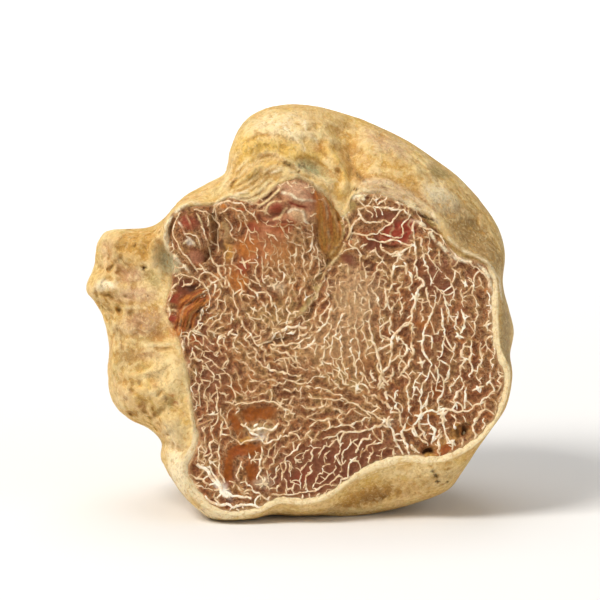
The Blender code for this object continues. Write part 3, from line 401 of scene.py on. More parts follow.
# Lines on flesh and skin alike: name, half width, lift towards the viewer, tone, its strength, and
# the points (u, v) that the line runs through.
LINES = (
    ("crease into the flesh", 0.85, -0.6, None, 0,
     ((4.4, 46.0), (6.2, 42.6), (7.1, 40.3), (5.2, 38.2), (4.0, 35.9), (2.4, 33.6), (1.6, 29.6),
      (-0.6, 26.6))),
    ("collar round the dome", 1.1, 1.3, None, 0,
     ((-12.2, 45.8), (-9.0, 48.6), (-4.6, 50.2), (-0.2, 49.7), (3.0, 47.8), (5.4, 45.2))),
    ("groove behind the collar", 1.0, -0.5, None, 0,
     ((-12.0, 48.2), (-8.4, 50.6), (-3.6, 52.2), (-0.4, 51.2))),
    ("valley beside the hood", 2.1, -1.2, Tone.OCHRE, 0.35,
     ((5.0, 57.5), (7.0, 53.5), (7.6, 50.0), (7.4, 47.4))),
    ("groove round the left lobe", 0.8, -1.3, None, 0,
     ((-12.8, 45.6), (-11.8, 41.6), (-12.9, 38.2), (-15.0, 35.6))),
    ("split under the shoulder", 0.7, -0.6, None, 0, ((15.6, 44.6), (18.6, 42.4), (20.8, 40.0))),
    ("ear seam", 1.2, -0.4, None, 0, ((-30.0, 30.8), (-25.0, 31.2), (-21.4, 30.6), (-18.6, 31.4))),
    ("ring round the wart", 0.55, -0.55, Tone.BROWN, 0.6,
     ((-26.6, 15.6), (-25.2, 15.0), (-23.6, 15.1), (-22.5, 16.2), (-22.4, 17.8))),
    ("left fold of the hood", 0.45, 0.35, Tone.CREAM, 0.75,
     ((-10.9, 46.6), (-10.4, 48.8), (-9.6, 50.8), (-8.6, 52.6))),
    ("tip of the hood", 0.6, 1.0, Tone.YELLOW, 0.9,
     ((3.2, 53.8), (5.2, 51.2), (6.2, 48.8), (6.2, 46.9), (5.2, 46.0))),
    ("inside of the hood's tip", 0.4, -0.35, Tone.OCHRE, 0.8,
     ((4.2, 51.6), (5.3, 49.6), (5.3, 47.6), (4.2, 47.0))),
    # A groove with painted shade under the hood's overhang.
    ("under the hood", 0.24, -0.75, Tone.UMBER, 0.75,
     ((-3.4, 51.1), (-1.6, 50.4), (0.4, 48.9), (2.6, 48.2), (4.6, 47.4))),
    ("fold under the hood", 0.26, 0.6, Tone.YELLOW, 0.9,
     ((-1.9, 49.7), (0.2, 48.5), (2.2, 47.5), (4.0, 46.2))),
    ("mould's upper edge", 0.22, -0.25, Tone.OCHRE, 0.7,
     ((-1.4, 51.0), (0.4, 51.5), (2.4, 51.0), (4.2, 49.6))),
    ("second seam in the valley", 0.2, -0.3, Tone.UMBER, 0.6,
     ((6.6, 52.4), (7.2, 50.4), (8.4, 48.6), (9.6, 47.8))),
    # A groove with painted shade along the collar's outer edge.
    ("behind the collar", 0.26, -0.45, Tone.OCHRE, 0.85,
     ((-10.4, 45.9), (-9.0, 48.4), (-6.6, 50.4), (-4.2, 51.4), (-2.4, 51.3))),
    ("streak of the dome", 0.18, 0.3, Tone.PALE, 0.9,
     ((-3.0, 46.5), (-1.4, 46.0), (-0.2, 45.2), (1.6, 45.3), (2.2, 44.8))),
    ("second streak of the dome", 0.15, 0.2, Tone.PINK, 0.9,
     ((-2.4, 47.2), (-0.4, 47.0), (1.4, 46.0), (2.0, 44.4))),
    ("beside the red of the dome", 0.15, 0.25, Tone.CREAM, 0.8,
     ((-5.2, 43.2), (-4.6, 44.6), (-3.4, 45.3), (-2.6, 45.0))),
    ("under the red of the dome", 0.14, 0.2, Tone.CREAM, 0.8,
     ((-4.0, 42.4), (-2.8, 42.9), (-2.2, 43.9), (-1.6, 44.2))),
    ("red streak of the dome", 0.2, -0.25, Tone.RED, 0.9,
     ((-2.0, 45.3), (-0.8, 44.5), (0.2, 44.3), (1.2, 44.0))),
    ("low streak of the dome", 0.16, 0.25, Tone.PALE, 0.9,
     ((-2.0, 43.4), (-1.0, 43.9), (0.2, 43.6), (0.6, 42.4), (1.4, 41.9))),
    ("step of the dome", 0.26, -0.4, Tone.MAROON, 0.7,
     ((-6.4, 43.6), (-5.4, 42.4), (-4.0, 42.0), (-2.2, 42.3), (-0.8, 41.8))),
    ("left fold of the dome", 0.2, 0.35, Tone.STONE, 0.8,
     ((-7.2, 44.8), (-5.6, 45.6), (-4.2, 46.9), (-2.6, 47.9))),
    ("second left fold", 0.18, 0.3, Tone.CREAM, 0.85,
     ((-6.6, 44.2), (-5.2, 44.9), (-4.0, 46.0), (-2.8, 47.2))),
    ("rim by the cleft", 0.17, 0.3, Tone.ORANGE, 0.85,
     ((1.9, 47.2), (2.4, 45.8), (2.5, 44.2), (2.3, 42.8))),
    ("strand in the lobe", 0.13, 0.25, Tone.PALE, 0.85,
     ((-17.4, 42.6), (-16.6, 41.4), (-16.2, 40.2), (-15.0, 39.6))),
    ("second strand in the lobe", 0.12, 0.22, Tone.BEIGE, 0.85,
     ((-16.2, 43.6), (-15.4, 42.2), (-15.2, 40.8), (-14.4, 39.8))),
    ("third strand in the lobe", 0.12, 0.22, Tone.CREAM, 0.8,
     ((-14.6, 43.6), (-14.0, 42.4), (-13.9, 41.0))),
    ("fourth strand in the lobe", 0.12, 0.2, Tone.BEIGE, 0.8,
     ((-13.4, 43.2), (-12.8, 41.8), (-12.9, 40.2), (-12.6, 39.0))),
    ("knob in the lobe", 0.17, 0.25, Tone.CREAM, 0.8,
     ((-16.8, 39.0), (-16.0, 39.7), (-15.2, 39.2), (-14.8, 38.6))),
    ("red thread", 0.12, 0.15, Tone.PINK, 0.9, ((12.2, 41.0), (13.0, 41.5), (14.0, 41.3), (14.4, 41.9))),
    ("second red thread", 0.11, 0.15, Tone.PINK, 0.9, ((12.0, 41.6), (12.8, 41.9), (13.4, 42.3))),
    ("third red thread", 0.11, 0.15, Tone.PINK, 0.9,
     ((11.2, 40.4), (12.4, 39.9), (13.6, 40.0), (14.8, 40.7), (15.8, 41.0))),
    ("red thread, across", 0.11, 0.15, Tone.BEIGE, 0.9,
     ((12.9, 42.4), (13.3, 41.6), (12.7, 40.8), (13.0, 39.8), (12.6, 39.0))),
    ("red thread, right", 0.12, 0.15, Tone.BEIGE, 0.9,
     ((15.9, 42.8), (15.4, 41.9), (15.8, 40.8), (15.3, 39.9))),
    ("pocket's dark edge", 0.24, -0.35, Tone.MAROON, 0.85,
     ((10.6, 40.9), (10.9, 39.8), (12.2, 38.9), (13.8, 38.8), (15.0, 39.4))),
    ("arch gap", 0.24, -0.2, Tone.BLUSH, 0.9, ((-8.2, 8.7), (-9.0, 7.6), (-9.0, 6.2), (-8.6, 5.2))),
    ("arch gap, shade", 0.14, -0.2, Tone.UMBER, 0.8, ((-9.6, 7.2), (-9.5, 6.2), (-9.2, 5.4))),
    ("node by the crease", 0.36, 0.35, Tone.PALE, 1.0,
     ((7.2, 45.6), (8.2, 45.9), (9.2, 45.4), (9.8, 44.8))),
    ("second node", 0.22, 0.3, Tone.CREAM, 0.9, ((8.0, 44.9), (8.6, 45.7), (9.8, 46.2), (11.0, 46.0))),
    ("dark by the node", 0.2, -0.5, Tone.UMBER, 0.9, ((7.2, 46.6), (7.8, 46.9), (8.4, 46.7))),
    ("rot hole slit", 0.24, -0.6, Tone.UMBER, 0.95, ((17.3, 9.2), (18.0, 9.9), (18.9, 9.6))),
    ("rot hole flake", 0.3, 0.35, Tone.OCHRE, 0.95, ((17.6, 8.9), (18.5, 9.2), (19.5, 8.9))),
    ("larger hole slit", 0.22, -0.8, Tone.UMBER, 0.95, ((23.0, 13.5), (23.3, 12.7), (23.0, 11.8))),
    ("larger hole, second slit", 0.2, -0.7, Tone.UMBER, 0.9, ((22.1, 12.9), (22.2, 12.1), (22.6, 11.5))),
    ("larger hole rim", 0.2, 0.35, Tone.OCHRE, 0.9,
     ((21.5, 12.4), (22.2, 13.5), (23.2, 14.0), (24.2, 13.4))),
    ("larger hole flake", 0.26, 0.3, Tone.GOLD, 0.9, ((23.8, 12.8), (24.2, 12.1), (23.6, 11.4))),
    ("larger hole, middle flake", 0.18, 0.25, Tone.ORANGE, 0.9,
     ((22.6, 13.1), (22.7, 12.5), (22.6, 11.9))),
    ("hood wrinkle", 0.24, 0.14, Tone.PALE, 0.8, ((-2.6, 56.4), (-1.4, 54.6), (0.2, 53.4), (0.6, 52.0))),
    ("second hood wrinkle", 0.22, 0.12, Tone.PALE, 0.8,
     ((0.6, 57.0), (0.9, 55.2), (2.2, 54.0), (2.6, 53.2))),
    ("hood wrinkle, left", 0.3, 0.14, Tone.CREAM, 0.6,
     ((-8.2, 54.8), (-5.4, 55.8), (-2.6, 55.2), (-0.6, 53.6))),
    ("under the wrinkle", 0.3, -0.16, Tone.OCHRE, 0.7,
     ((-8.0, 53.6), (-5.0, 54.6), (-2.8, 54.2), (-1.6, 52.8))),
    ("lobe outline", 0.32, 0.5, Tone.PALE, 0.9,
     ((-13.0, 44.2), (-15.4, 44.7), (-17.6, 43.9), (-18.9, 42.0), (-19.1, 39.6), (-18.0, 37.6),
      (-16.4, 35.8), (-15.0, 34.4))),
    ("inside the outline", 0.22, -0.35, Tone.BROWN, 0.7,
     ((-15.6, 43.9), (-17.4, 43.0), (-18.3, 41.4), (-18.2, 39.6), (-17.2, 37.8), (-15.8, 36.2))),
    ("top lobe, outline", 0.28, 0.35, Tone.PALE, 0.85,
     ((-12.6, 44.4), (-11.4, 45.4), (-9.8, 45.8), (-8.0, 45.3), (-6.6, 44.4))),
    ("double edge, inner", 0.34, 0.32, Tone.PALE, 0.8,
     ((15.4, 43.0), (17.6, 41.6), (19.6, 39.2), (22.0, 37.2), (25.2, 36.0), (27.0, 33.8), (27.2, 31.4))),
    ("double edge, gap", 0.28, -0.34, Tone.OLIVE, 0.7,
     ((16.2, 43.5), (18.3, 42.0), (20.3, 39.6), (22.4, 37.8), (25.6, 36.6))),
    # Painted shade in the slit.
    ("slit by the red pocket", 0.15, -0.5, Tone.BLACK, 0.95, ((16.7, 43.2), (18.3, 42.6), (20.0, 41.8))),
    ("fold by the slit", 0.22, 0.3, Tone.CREAM, 0.8,
     ((14.8, 44.6), (17.2, 43.8), (19.2, 42.9), (20.8, 41.6))),
    ("line beyond the slit", 0.2, 0.3, Tone.PALE, 0.85,
     ((20.6, 40.9), (21.9, 38.9), (24.3, 37.6), (26.9, 36.1), (28.2, 33.6), (28.9, 30.6))),
    ("great vein ridge", 0.3, 0.2, Tone.BEIGE, 0.7,
     ((-6.4, 24.9), (-4.6, 25.7), (-3.4, 26.8), (-1.2, 27.3))),
    ("crease line", 0.2, 0.35, Tone.CREAM, 0.8,
     ((3.6, 47.0), (5.6, 44.4), (7.0, 41.8), (6.6, 39.6), (5.0, 37.0), (3.4, 34.6), (2.4, 32.2),
      (0.9, 30.2), (-1.0, 28.0))),
    ("crease wall", 0.55, 0.15, Tone.OLIVE, 0.62,
     ((4.2, 36.8), (2.8, 34.4), (1.8, 32.0), (0.2, 29.8), (-1.8, 27.6))),
    ("second crease line", 0.2, 0.3, Tone.CREAM, 0.8,
     ((2.6, 46.4), (4.4, 43.6), (5.9, 41.2), (5.4, 39.2), (3.9, 37.2))),
    ("crease shade", 0.24, -0.2, Tone.OLIVE, 0.7, ((3.4, 46.2), (5.1, 43.6), (6.2, 41.2), (5.2, 38.9))),
    ("ear branch", 0.17, 0.22, Tone.CREAM, 0.7,
     ((-27.6, 31.2), (-25.2, 30.1), (-23.4, 29.9), (-21.9, 30.3), (-20.7, 30.7), (-19.5, 29.9),
      (-17.1, 29.7))),
    ("ear branch, high", 0.15, 0.2, Tone.CREAM, 0.7,
     ((-21.4, 30.5), (-19.9, 31.9), (-18.9, 32.8), (-18.6, 34.4))),
    ("ear branch, low", 0.2, 0.2, Tone.CREAM, 0.7,
     ((-22.6, 24.7), (-20.2, 24.6), (-18.2, 24.9), (-17.0, 24.0))),
    ("lower edge of the nose", 0.26, -0.5, Tone.OCHRE, 0.8,
     ((-29.6, 32.4), (-28.0, 32.1), (-26.4, 32.3), (-25.2, 32.9))),
    # A painted highlight along the nose's ridge.
    ("nose ridge", 0.4, 0.3, Tone.PALE, 0.5, ((-29.6, 33.4), (-28.0, 33.2), (-26.4, 33.5))),
    ("ear side edge", 0.24, 0.3, Tone.CREAM, 0.85,
     ((-17.0, 25.6), (-16.4, 23.4), (-16.3, 20.8), (-15.7, 17.6), (-15.3, 14.0), (-15.4, 11.2))),
    ("round the torn cell", 0.15, 0.2, Tone.BEIGE, 0.8,
     ((-19.2, 28.2), (-18.2, 27.4), (-17.1, 28.2), (-17.3, 29.4), (-18.6, 29.6), (-19.2, 28.6))),
    ("under the torn lobes", 0.18, 0.2, Tone.PALE, 0.75,
     ((-16.6, 24.4), (-16.4, 26.2), (-15.4, 27.0), (-13.6, 26.0))),
    ("shoulder crease", 0.8, -0.22, None, 0,
     ((9.0, 56.2), (12.4, 53.6), (16.6, 50.0), (20.2, 46.4), (23.6, 42.4))),
    ("crease under the shoulder", 0.5, -0.25, Tone.OCHRE, 0.4,
     ((8.6, 48.9), (12.0, 48.6), (15.6, 47.0), (18.6, 44.4))),
    ("shoulder edge", 0.3, 0.2, Tone.PALE, 0.7,
     ((8.2, 47.8), (11.6, 47.9), (15.4, 46.2), (18.2, 43.6), (20.6, 40.8))),
    ("chin crease", 0.45, -0.22, Tone.OCHRE, 0.5, ((12.4, 2.8), (16.6, 4.9), (20.0, 6.8), (23.4, 8.6))),
    ("low chin crease", 0.4, -0.22, Tone.BROWN, 0.35, ((3.0, 1.4), (7.0, 2.0), (11.4, 3.2), (15.0, 4.0))),
)

# Thin welts that fan out between a first and a last line: half width, lift, tones, the two lines.
FANS = (
    (0.24, 0.26, (Tone.CREAM, Tone.BROWN, Tone.CREAM, Tone.OLIVE, Tone.PALE, Tone.OCHRE, Tone.CREAM,
     Tone.OCHRE, Tone.YELLOW, Tone.OCHRE, Tone.CREAM, Tone.OCHRE, Tone.CREAM),
     ((-9.9, 45.4), (-7.4, 45.2), (-5.2, 46.2), (-3.4, 48.0), (-1.2, 48.7), (1.0, 48.1), (2.9, 46.6),
      (4.6, 44.8)),
     ((-11.6, 46.6), (-9.6, 49.0), (-7.4, 51.0), (-5.0, 52.0), (-3.0, 51.7), (-0.8, 50.1), (2.2, 48.7),
      (5.6, 46.7))),
    (0.17, 0.16, (Tone.PALE, Tone.ROSE, Tone.BEIGE, Tone.ROSE, Tone.CREAM, Tone.ROSE, Tone.BEIGE),
     ((8.6, 46.0), (11.0, 46.0), (13.4, 45.2), (16.0, 44.4), (18.4, 43.2)),
     ((8.8, 47.8), (11.8, 48.2), (14.8, 47.0), (17.8, 45.2), (20.2, 42.8))),
    (0.22, 0.2, (Tone.ORANGE, Tone.OCHRE, Tone.ORANGE, Tone.BEIGE, Tone.RUST, Tone.OCHRE, Tone.GOLD,
     Tone.ORANGE),
     ((2.4, 46.0), (2.6, 43.0), (2.9, 40.0), (3.2, 37.6)),
     ((4.0, 46.4), (5.4, 43.2), (5.7, 40.6), (4.6, 38.4))),
    (0.18, 0.3, (Tone.ORANGE, Tone.RED, Tone.ORANGE, Tone.BEIGE, Tone.RUST, Tone.ORANGE, Tone.RED,
     Tone.ORANGE, Tone.GOLD, Tone.RUST, Tone.ORANGE),
     ((-17.9, 26.4), (-17.6, 28.6), (-16.6, 31.0), (-14.2, 32.6), (-12.8, 32.8)),
     ((-16.4, 25.6), (-15.4, 27.6), (-14.6, 29.2), (-13.2, 30.4), (-12.2, 30.6))),
)


def fan_welts() -> list[tuple]:
    """The fans' welts, ridges and gaps by turns, laid out as LINES are."""
    welts = []
    for half_width, lift, tones, first, last in FANS:
        for index, tone in enumerate(tones):
            share = index / (len(tones) - 1)
            line = np.array(first) * (1 - share) + np.array(last) * share
            welts.append(("welt", half_width, lift * (1 - 2 * (index % 2)), tone, 0.8, line))
    return welts


# How wide the pale border between the cut's edge and the flesh is: u, v, half length, half width,
# turn, change.
BORDERS = (
    (-17.6, 22.0, 4.2, 13.0, 0, -0.55), (-14.0, 44.0, 7.0, 3.0, 0, -0.4),
    (-2.0, 47.2, 11.0, 4.0, 0, -0.55), (11.6, 47.2, 4.2, 2.4, -12, 0.3), (5.4, 45.6, 2.2, 2.6, 0, -0.6),
    (-18.9, 36.4, 1.6, 3.4, 8, -0.45), (-16.0, 4.0, 4.0, 5.0, 0, 0.45), (0.0, 1.8, 8.0, 2.0, 0, 0.05),
    (29.0, 22.0, 2.4, 7.0, 0, 0.1), (22.0, 40.0, 9.0, 3.4, -42, -0.42),
)


# ---------------------------------------------------------------- curves
def through(start: Points, before: Points, after: Points, beyond: Points, samples: int) -> Points:
    """Catmull-Rom samples from each start towards its after.

    Args:
        start, before, after, beyond: the four points that shape each stretch.
        samples: how many points each stretch gets.

    Returns:
        The samples, one row of them for each stretch.
    """
    t = (np.arange(samples) / samples)[None, :, None]
    return start + 0.5 * t * (
        (after - before)
        + t * (2 * before - 5 * start + 4 * after - beyond)
        + t * t * (3 * start - before - 3 * after + beyond)
    )


def smooth_loop(points: Sequence, samples: int = 10) -> Points:
    """A closed smooth curve.

    Args:
        points: what it runs through.
        samples: points on each stretch.

    Returns:
        The curve's points.
    """
    start = np.asarray(points, float)[:, None]
    before, after, beyond = (np.roll(start, shift, 0) for shift in (1, -1, -2))
    return through(start, before, after, beyond, samples).reshape(-1, start.shape[-1])


def smooth_line(points: Sequence, samples: int = 5) -> Points:
    """An open smooth curve, ends included.

    Args:
        points: what it runs through.
        samples: points on each stretch.

    Returns:
        The curve's points.
    """
    row = np.asarray(points, float)[:, None]
    row = np.concatenate([2 * row[:1] - row[1:2], row, 2 * row[-1:] - row[-2:-1]])
    curve = through(row[1:-2], row[:-3], row[2:-1], row[3:], samples)
    return np.vstack([curve.reshape(-1, row.shape[-1]), row[-2]])


def spread_along(line: Points, step: float) -> Points:
    """Points along an open line, ends included.

    Args:
        line: the line's own points, (u, v).
        step: the distance between two of the new points, or nearly so.

    Returns:
        The new points.
    """
    run = np.concatenate([[0], np.cumsum(np.hypot(*np.diff(line, axis=0).T))])
    at = np.linspace(0, run[-1], max(2, round(run[-1] / step) + 1))
    return np.column_stack([np.interp(at, run, line[:, axis]) for axis in (0, 1)])


def smoothstep(low: float, high: float, value: Points) -> Points:
    """Nought under low, one over high, and an even S between them."""
    t = np.clip((value - low) / (high - low), 0, 1)
    return t * t * (3 - 2 * t)


def nearest_on_line(u: Points, v: Points, points: Points) -> tuple[Points, Points]:
    """How near an open line comes to each place.

    Args:
        u, v: the places.
        points: the line.

    Returns:
        The distance from each place, and the share of the line's run where it comes nearest.
    """
    lengths = np.hypot(*np.diff(points, axis=0).T)
    best, at = np.full_like(u, np.inf), np.zeros_like(u)
    run = 0.0
    for (u0, v0), (u1, v1), length in zip(points[:-1], points[1:], lengths):
        du, dv = u1 - u0, v1 - v0
        share = np.clip(((u - u0) * du + (v - v0) * dv) / (length * length), 0, 1)
        distance = np.hypot(u - u0 - share * du, v - v0 - share * dv)
        at = np.where(distance < best, run + share * length, at)
        best = np.minimum(best, distance)
        run += length
    return best, at / run


def dab_shape(u: Points, v: Points, place: Sequence[float], edge: float) -> Points:
    """A soft oval mask.

    Args:
        u, v: where it is read.
        place: its middle u and v, half length, half width and turn in degrees.
        edge: over 1 gives it a flatter top and a steeper side.

    Returns:
        One in its middle, falling to nought outside it.
    """
    centre_u, centre_v, half_length, half_width, turn = place
    c, s = math.cos(math.radians(turn)), math.sin(math.radians(turn))
    along = ((u - centre_u) * c + (v - centre_v) * s) / half_length
    across = ((v - centre_v) * c - (u - centre_u) * s) / half_width
    return np.exp(-((along**2 + across**2) ** edge))


def bumps(points: Points, kinds: Iterable[tuple[float, float]]) -> Points:
    """Uneven lift from smooth bumps.

    Args:
        points: the places, (u, v, w).
        kinds: the width and height of each kind of bump.

    Returns:
        The lift at each place.
    """
    lift = np.zeros(len(points))
    for width, height in kinds:
        lift += height * np.array([noise.noise(Vector(p)) for p in points / width])
    return lift


def strayed(points: Points, kinds: Iterable[tuple[float, float]]) -> tuple[Points, Points]:
    """The points' u and v, pushed about by smooth noise so that what is laid by them has no even edge.

    Args:
        points: the places, (u, v, ...).
        kinds: the width and height of each kind of noise.

    Returns:
        Every u and every v.
    """
    shoves = (
        bumps(np.column_stack([points[:, :2], np.full(len(points), layer)]), kinds)
        for layer in STRAY_LAYERS
    )
    return tuple(points[:, axis] + shove for axis, shove in enumerate(shoves))


def lattice(low: Points, high: Points, step: float) -> Points:
    """Points of an even triangular lattice that fills a box.

    Args:
        low, high: the box's corners, (u, v).
        step: the distance between neighbours.

    Returns:
        The points, (u, v).
    """
    rows = np.arange(low[1], high[1], step * math.sqrt(0.75))
    across = np.arange(low[0], high[0], step)
    return np.vstack([
        np.column_stack([across + 0.5 * step * (index % 2), np.full_like(across, row)])
        for index, row in enumerate(rows)
    ])


def fill_sheet(points: Points, loop_length: int) -> list[list[int]]:
    """Triangles through all the points, inside the loop that the first of them make.

    Args:
        points: the places, (u, v).
        loop_length: how many of them make the loop.

    Returns:
        Each triangle's three indices, anticlockwise.
    """
    verts = [Vector(point) for point in points]
    found = geometry.delaunay_2d_cdt(verts, [], [list(range(loop_length))], INSIDE, WELD)
    return [[found[3][index][0] for index in face] for face in found[2]]


def finder(points: Points) -> kdtree.KDTree:
    """A search tree of places, (u, v)."""
    tree = kdtree.KDTree(len(points))
    for index, (u, v) in enumerate(points):
        tree.insert((u, v, 0), index)
    tree.balance()
    return tree


def distances(tree: kdtree.KDTree, points: Points) -> Points:
    """How far each (u, v, ...) is from the tree's nearest place."""
    return np.array([tree.find((u, v, 0))[2] for u, v in points[:, :2]])


def ends_faded(share: Points, reach: float) -> Points:
    """One along a line, falling to nought over this share of its run at each end."""
    return smoothstep(0, reach, share) * smoothstep(0, reach, 1 - share)


@dataclass
class Outline:
    """A closed curve round CENTRE, read by angle.

    Args:
        points: what the curve runs through, anticlockwise.
        waves: how many waves the plain radius keeps.
        looks: how many angles it is worked out at.
    """

    points: Sequence
    waves: int = 3
    looks: int = 360
    curve: Points = field(init=False)
    angles: Points = field(init=False)
    radii: Points = field(init=False)
    turns: Points = field(init=False)
    plain: Points = field(init=False)

    def __post_init__(self) -> None:
        """Works out the curve and its plain radius."""
        self.curve = smooth_loop(self.points)
        offset = self.curve[:, :2] - CENTRE
        self.angles = np.arctan2(offset[:, 1], offset[:, 0])
        self.radii = np.hypot(offset[:, 0], offset[:, 1])
        self.turns = np.linspace(-HALF_TURN, HALF_TURN, self.looks, endpoint=False)
        spectrum = np.fft.rfft(self.radius(self.turns))
        spectrum[self.waves + 1:] = 0
        self.plain = np.fft.irfft(spectrum, self.looks)

    def radius(self, angle: Points) -> Points:
        """Distance of the curve from CENTRE at each angle."""
        return np.interp(angle, self.angles, self.radii, period=2 * HALF_TURN)

    def depth(self, angle: Points) -> Points:
        """Depth w of the curve at each angle."""
        return np.interp(angle, self.angles, self.curve[:, 2], period=2 * HALF_TURN)

    def plain_radius(self, angle: Points) -> Points:
        """The radius with only the slowest waves round the outline left in it."""
        return np.interp(angle, self.turns, self.plain, period=2 * HALF_TURN)

    def evenly(self, step: float) -> Points:
        """Points (u, v) along the curve, a step apart."""
        return spread_along(np.vstack([self.curve, self.curve[:1]])[:, :2], step)[:-1]


# ---------------------------------------------------------------- the truffle's form
@dataclass
class Form:
    """The shape that every piece of the truffle follows, in the cut's own frame.

    Args:
        depth: cut face to the far end of the back.
        belly_share: share of the way from the cut's edge to the back's end where it is widest.
        edge_slope: how soon the skin turns away from the cut.
        fullness: under 1 keeps the back full.
        dab_edge: how steep the side of a swelling is.
        fold_fade: share of its run over which a fold dies away at each end.
        thin_fold: folds with a half width under this are uneven along their run.
        fold_swell: width and height of each kind of that unevenness.
        cut_waver: width and height of the cut's slow waves.
        strays: width and height of the wandering of the folds and swellings.
        skin_bumps: width and height of each kind of bump on the skin.
        front_bumps: how much lower they are on the front.
        ear_bumps: how much higher they are on the ear.
        ear_reach: where, in u, the ear begins and where it is all ear.
        skin_creases: spacing and depth of each kind of fine crease.
        crease_width: how much of the skin they take up.
        lobe_size, lobe_depth, lobe_round, lobe_floor, lobe_level, lobe_warp, warp_size: the back's
            lobes and the furrows between them.
        warp_seed: which wandering the furrows have, the same each time.
        lip_height: how far the skin stands proud round the cut, where the border is 1 mm wide.
        lip_spread: how far that dies away, with no border and more for each millimetre of it.
        lip_limit: a wider border than this gives no higher lip.
        border, least_border: width of the pale border round the flesh, as a rule and at its least.
        border_edge: how soon a change of it sets in.
        lip_waver: width and height of the wandering of the flesh's edge.
    """

    depth: float = 38.0
    belly_share: float = 0.36
    edge_slope: float = 0.35
    fullness: float = 0.74
    dab_edge: float = 1.3
    fold_fade: float = 0.22
    thin_fold: float = 0.5
    fold_swell: tuple = ((1.8, 1.2), (0.8, 0.7))
    cut_waver: tuple = ((9.0, 0.35),)
    strays: tuple = ((2.4, 0.30), (1.0, 0.14))
    skin_bumps: tuple = ((5.5, 0.55), (2.6, 0.50), (1.3, 0.38), (0.75, 0.24))
    front_bumps: float = 0.9
    ear_bumps: float = 1.0
    ear_reach: tuple = (-17.5, -21.5)
    skin_creases: tuple = ((4.2, 0.34), (2.1, 0.20))
    crease_width: float = 0.11
    lobe_size: float = 16.0
    lobe_depth: float = 3.8
    lobe_round: float = 0.30
    lobe_floor: float = 0.06
    lobe_level: float = 0.62
    lobe_warp: float = 3.5
    warp_size: float = 8.0
    warp_seed: int = 1795410769
    lip_height: float = 0.18
    lip_spread: tuple = (0.25, 0.7)
    lip_limit: float = 1.2
    border: float = 0.62
    least_border: float = 0.08
    border_edge: float = 1.2
    lip_waver: tuple = ((4.0, 0.26), (1.5, 0.22), (0.7, 0.12))
    rim: Outline = field(init=False)
    belly: Outline = field(init=False)
    edge: kdtree.KDTree = field(init=False)
    profile: tuple = field(init=False)

    def __post_init__(self) -> None:
        """Works out both outlines, the skin's mean run and a search tree of the cut's edge."""
        self.rim, self.belly = Outline(RIM), Outline(BELLY)
        self.edge = finder(self.rim.evenly(0.1))
        self.profile = self._mean_profile()

    def inset(self, points: Points) -> Points:
        """How far inside the cut's edge each (u, v) lies: less than nought outside it."""
        du, dv = (points[:, :2] - CENTRE).T
        within = np.hypot(du, dv) < self.rim.radius(np.arctan2(dv, du))
        far = distances(self.edge, points)
        return np.where(within, far, -far)

    def front_lift(self, points: Points) -> Points:
        """Lift towards the viewer of each (u, v, w) of the front."""
        u, v = strayed(points, self.strays)
        lift = bumps(points, self.cut_waver)
        uneven = 1 + bumps(points, self.fold_swell)
        for _, *place, height in DABS:
            lift += height * dab_shape(u, v, place, self.dab_edge)
        for _, half_width, height, _, _, line in (*LINES, *fan_welts()):
            distance, share = nearest_on_line(u, v, smooth_line(line))
            fade = ends_faded(share, self.fold_fade) * (uneven if half_width < self.thin_fold else 1)
            lift += height * fade * np.exp(-((distance / half_width) ** 2))
        return lift

    def border_width(self, points: Points) -> Points:
        """How far inside the cut's edge the flesh begins, about each (u, v)."""
        width = np.full(len(points), self.border)
        for *place, change in BORDERS:
            width += change * dab_shape(points[:, 0], points[:, 1], place, self.border_edge)
        return np.maximum(width, self.least_border)

    def lip(self, points: Points, from_rim: Points) -> Points:
        """Lift of the skin's lip at each place this far from the cut's edge, on either side of it."""
        width = self.border_width(points)
        spread = self.lip_spread[0] + self.lip_spread[1] * width
        return self.lip_height * np.minimum(width, self.lip_limit) * np.exp(-((from_rim / spread) ** 2))

    def into_flesh(self, points: Points, inset: Points) -> Points:
        """How far each place lies beyond the wandering border of the flesh, less than nought outside."""
        flat = np.column_stack([points[:, :2], np.full(len(points), FLESH_LAYER)])
        return inset - self.border_width(points) + bumps(flat, self.lip_waver)

    def plain_skin(self, angle: Points, share: Points) -> Points:
        """The skin without its relief.

        Args:
            angle: direction round CENTRE.
            share: 0 at the cut's edge, 1 at the end of the back.

        Returns:
            The places, (u, v, w).
        """
        rim, belly, belly_depth = self.rim.radius(angle), self.belly.radius(angle), self.belly.depth(angle)
        quarter = HALF_TURN / 2
        front = np.clip(share / self.belly_share, 0, 1) * quarter
        back = np.clip((share - self.belly_share) / (1 - self.belly_share), 0, 1) * quarter
        wide = belly + (self.belly.plain_radius(angle) - belly) * smoothstep(0, 0.9, back)
        radius = (rim + (wide - rim) * np.sin(front)) * np.maximum(np.cos(back), 0) ** self.fullness
        turn = self.edge_slope * front / quarter + (1 - self.edge_slope) * (1 - np.cos(front))
        depth = belly_depth * turn + (self.depth - belly_depth) * np.sin(back)
        shift = smoothstep(0, quarter, back)
        u = CENTRE[0] + (BACK_CENTRE[0] - CENTRE[0]) * shift + radius * np.cos(angle)
        v = CENTRE[1] + (BACK_CENTRE[1] - CENTRE[1]) * shift + radius * np.sin(angle)
        return np.column_stack([u, v, depth])

    def lobes(self, points: Points) -> Points:
        """How far the skin stands above the furrows between the back's lobes, 0 to 1."""
        noise.seed_set(self.warp_seed)
        swell = []
        for point in points:
            place = Vector(point)
            warped = place + self.lobe_warp * noise.noise_vector(place / self.warp_size)
            nearest, second = noise.voronoi(warped / self.lobe_size)[0][:2]
            swell.append(1 - math.exp(-math.hypot(second - nearest, self.lobe_floor) / self.lobe_round))
        return np.array(swell)

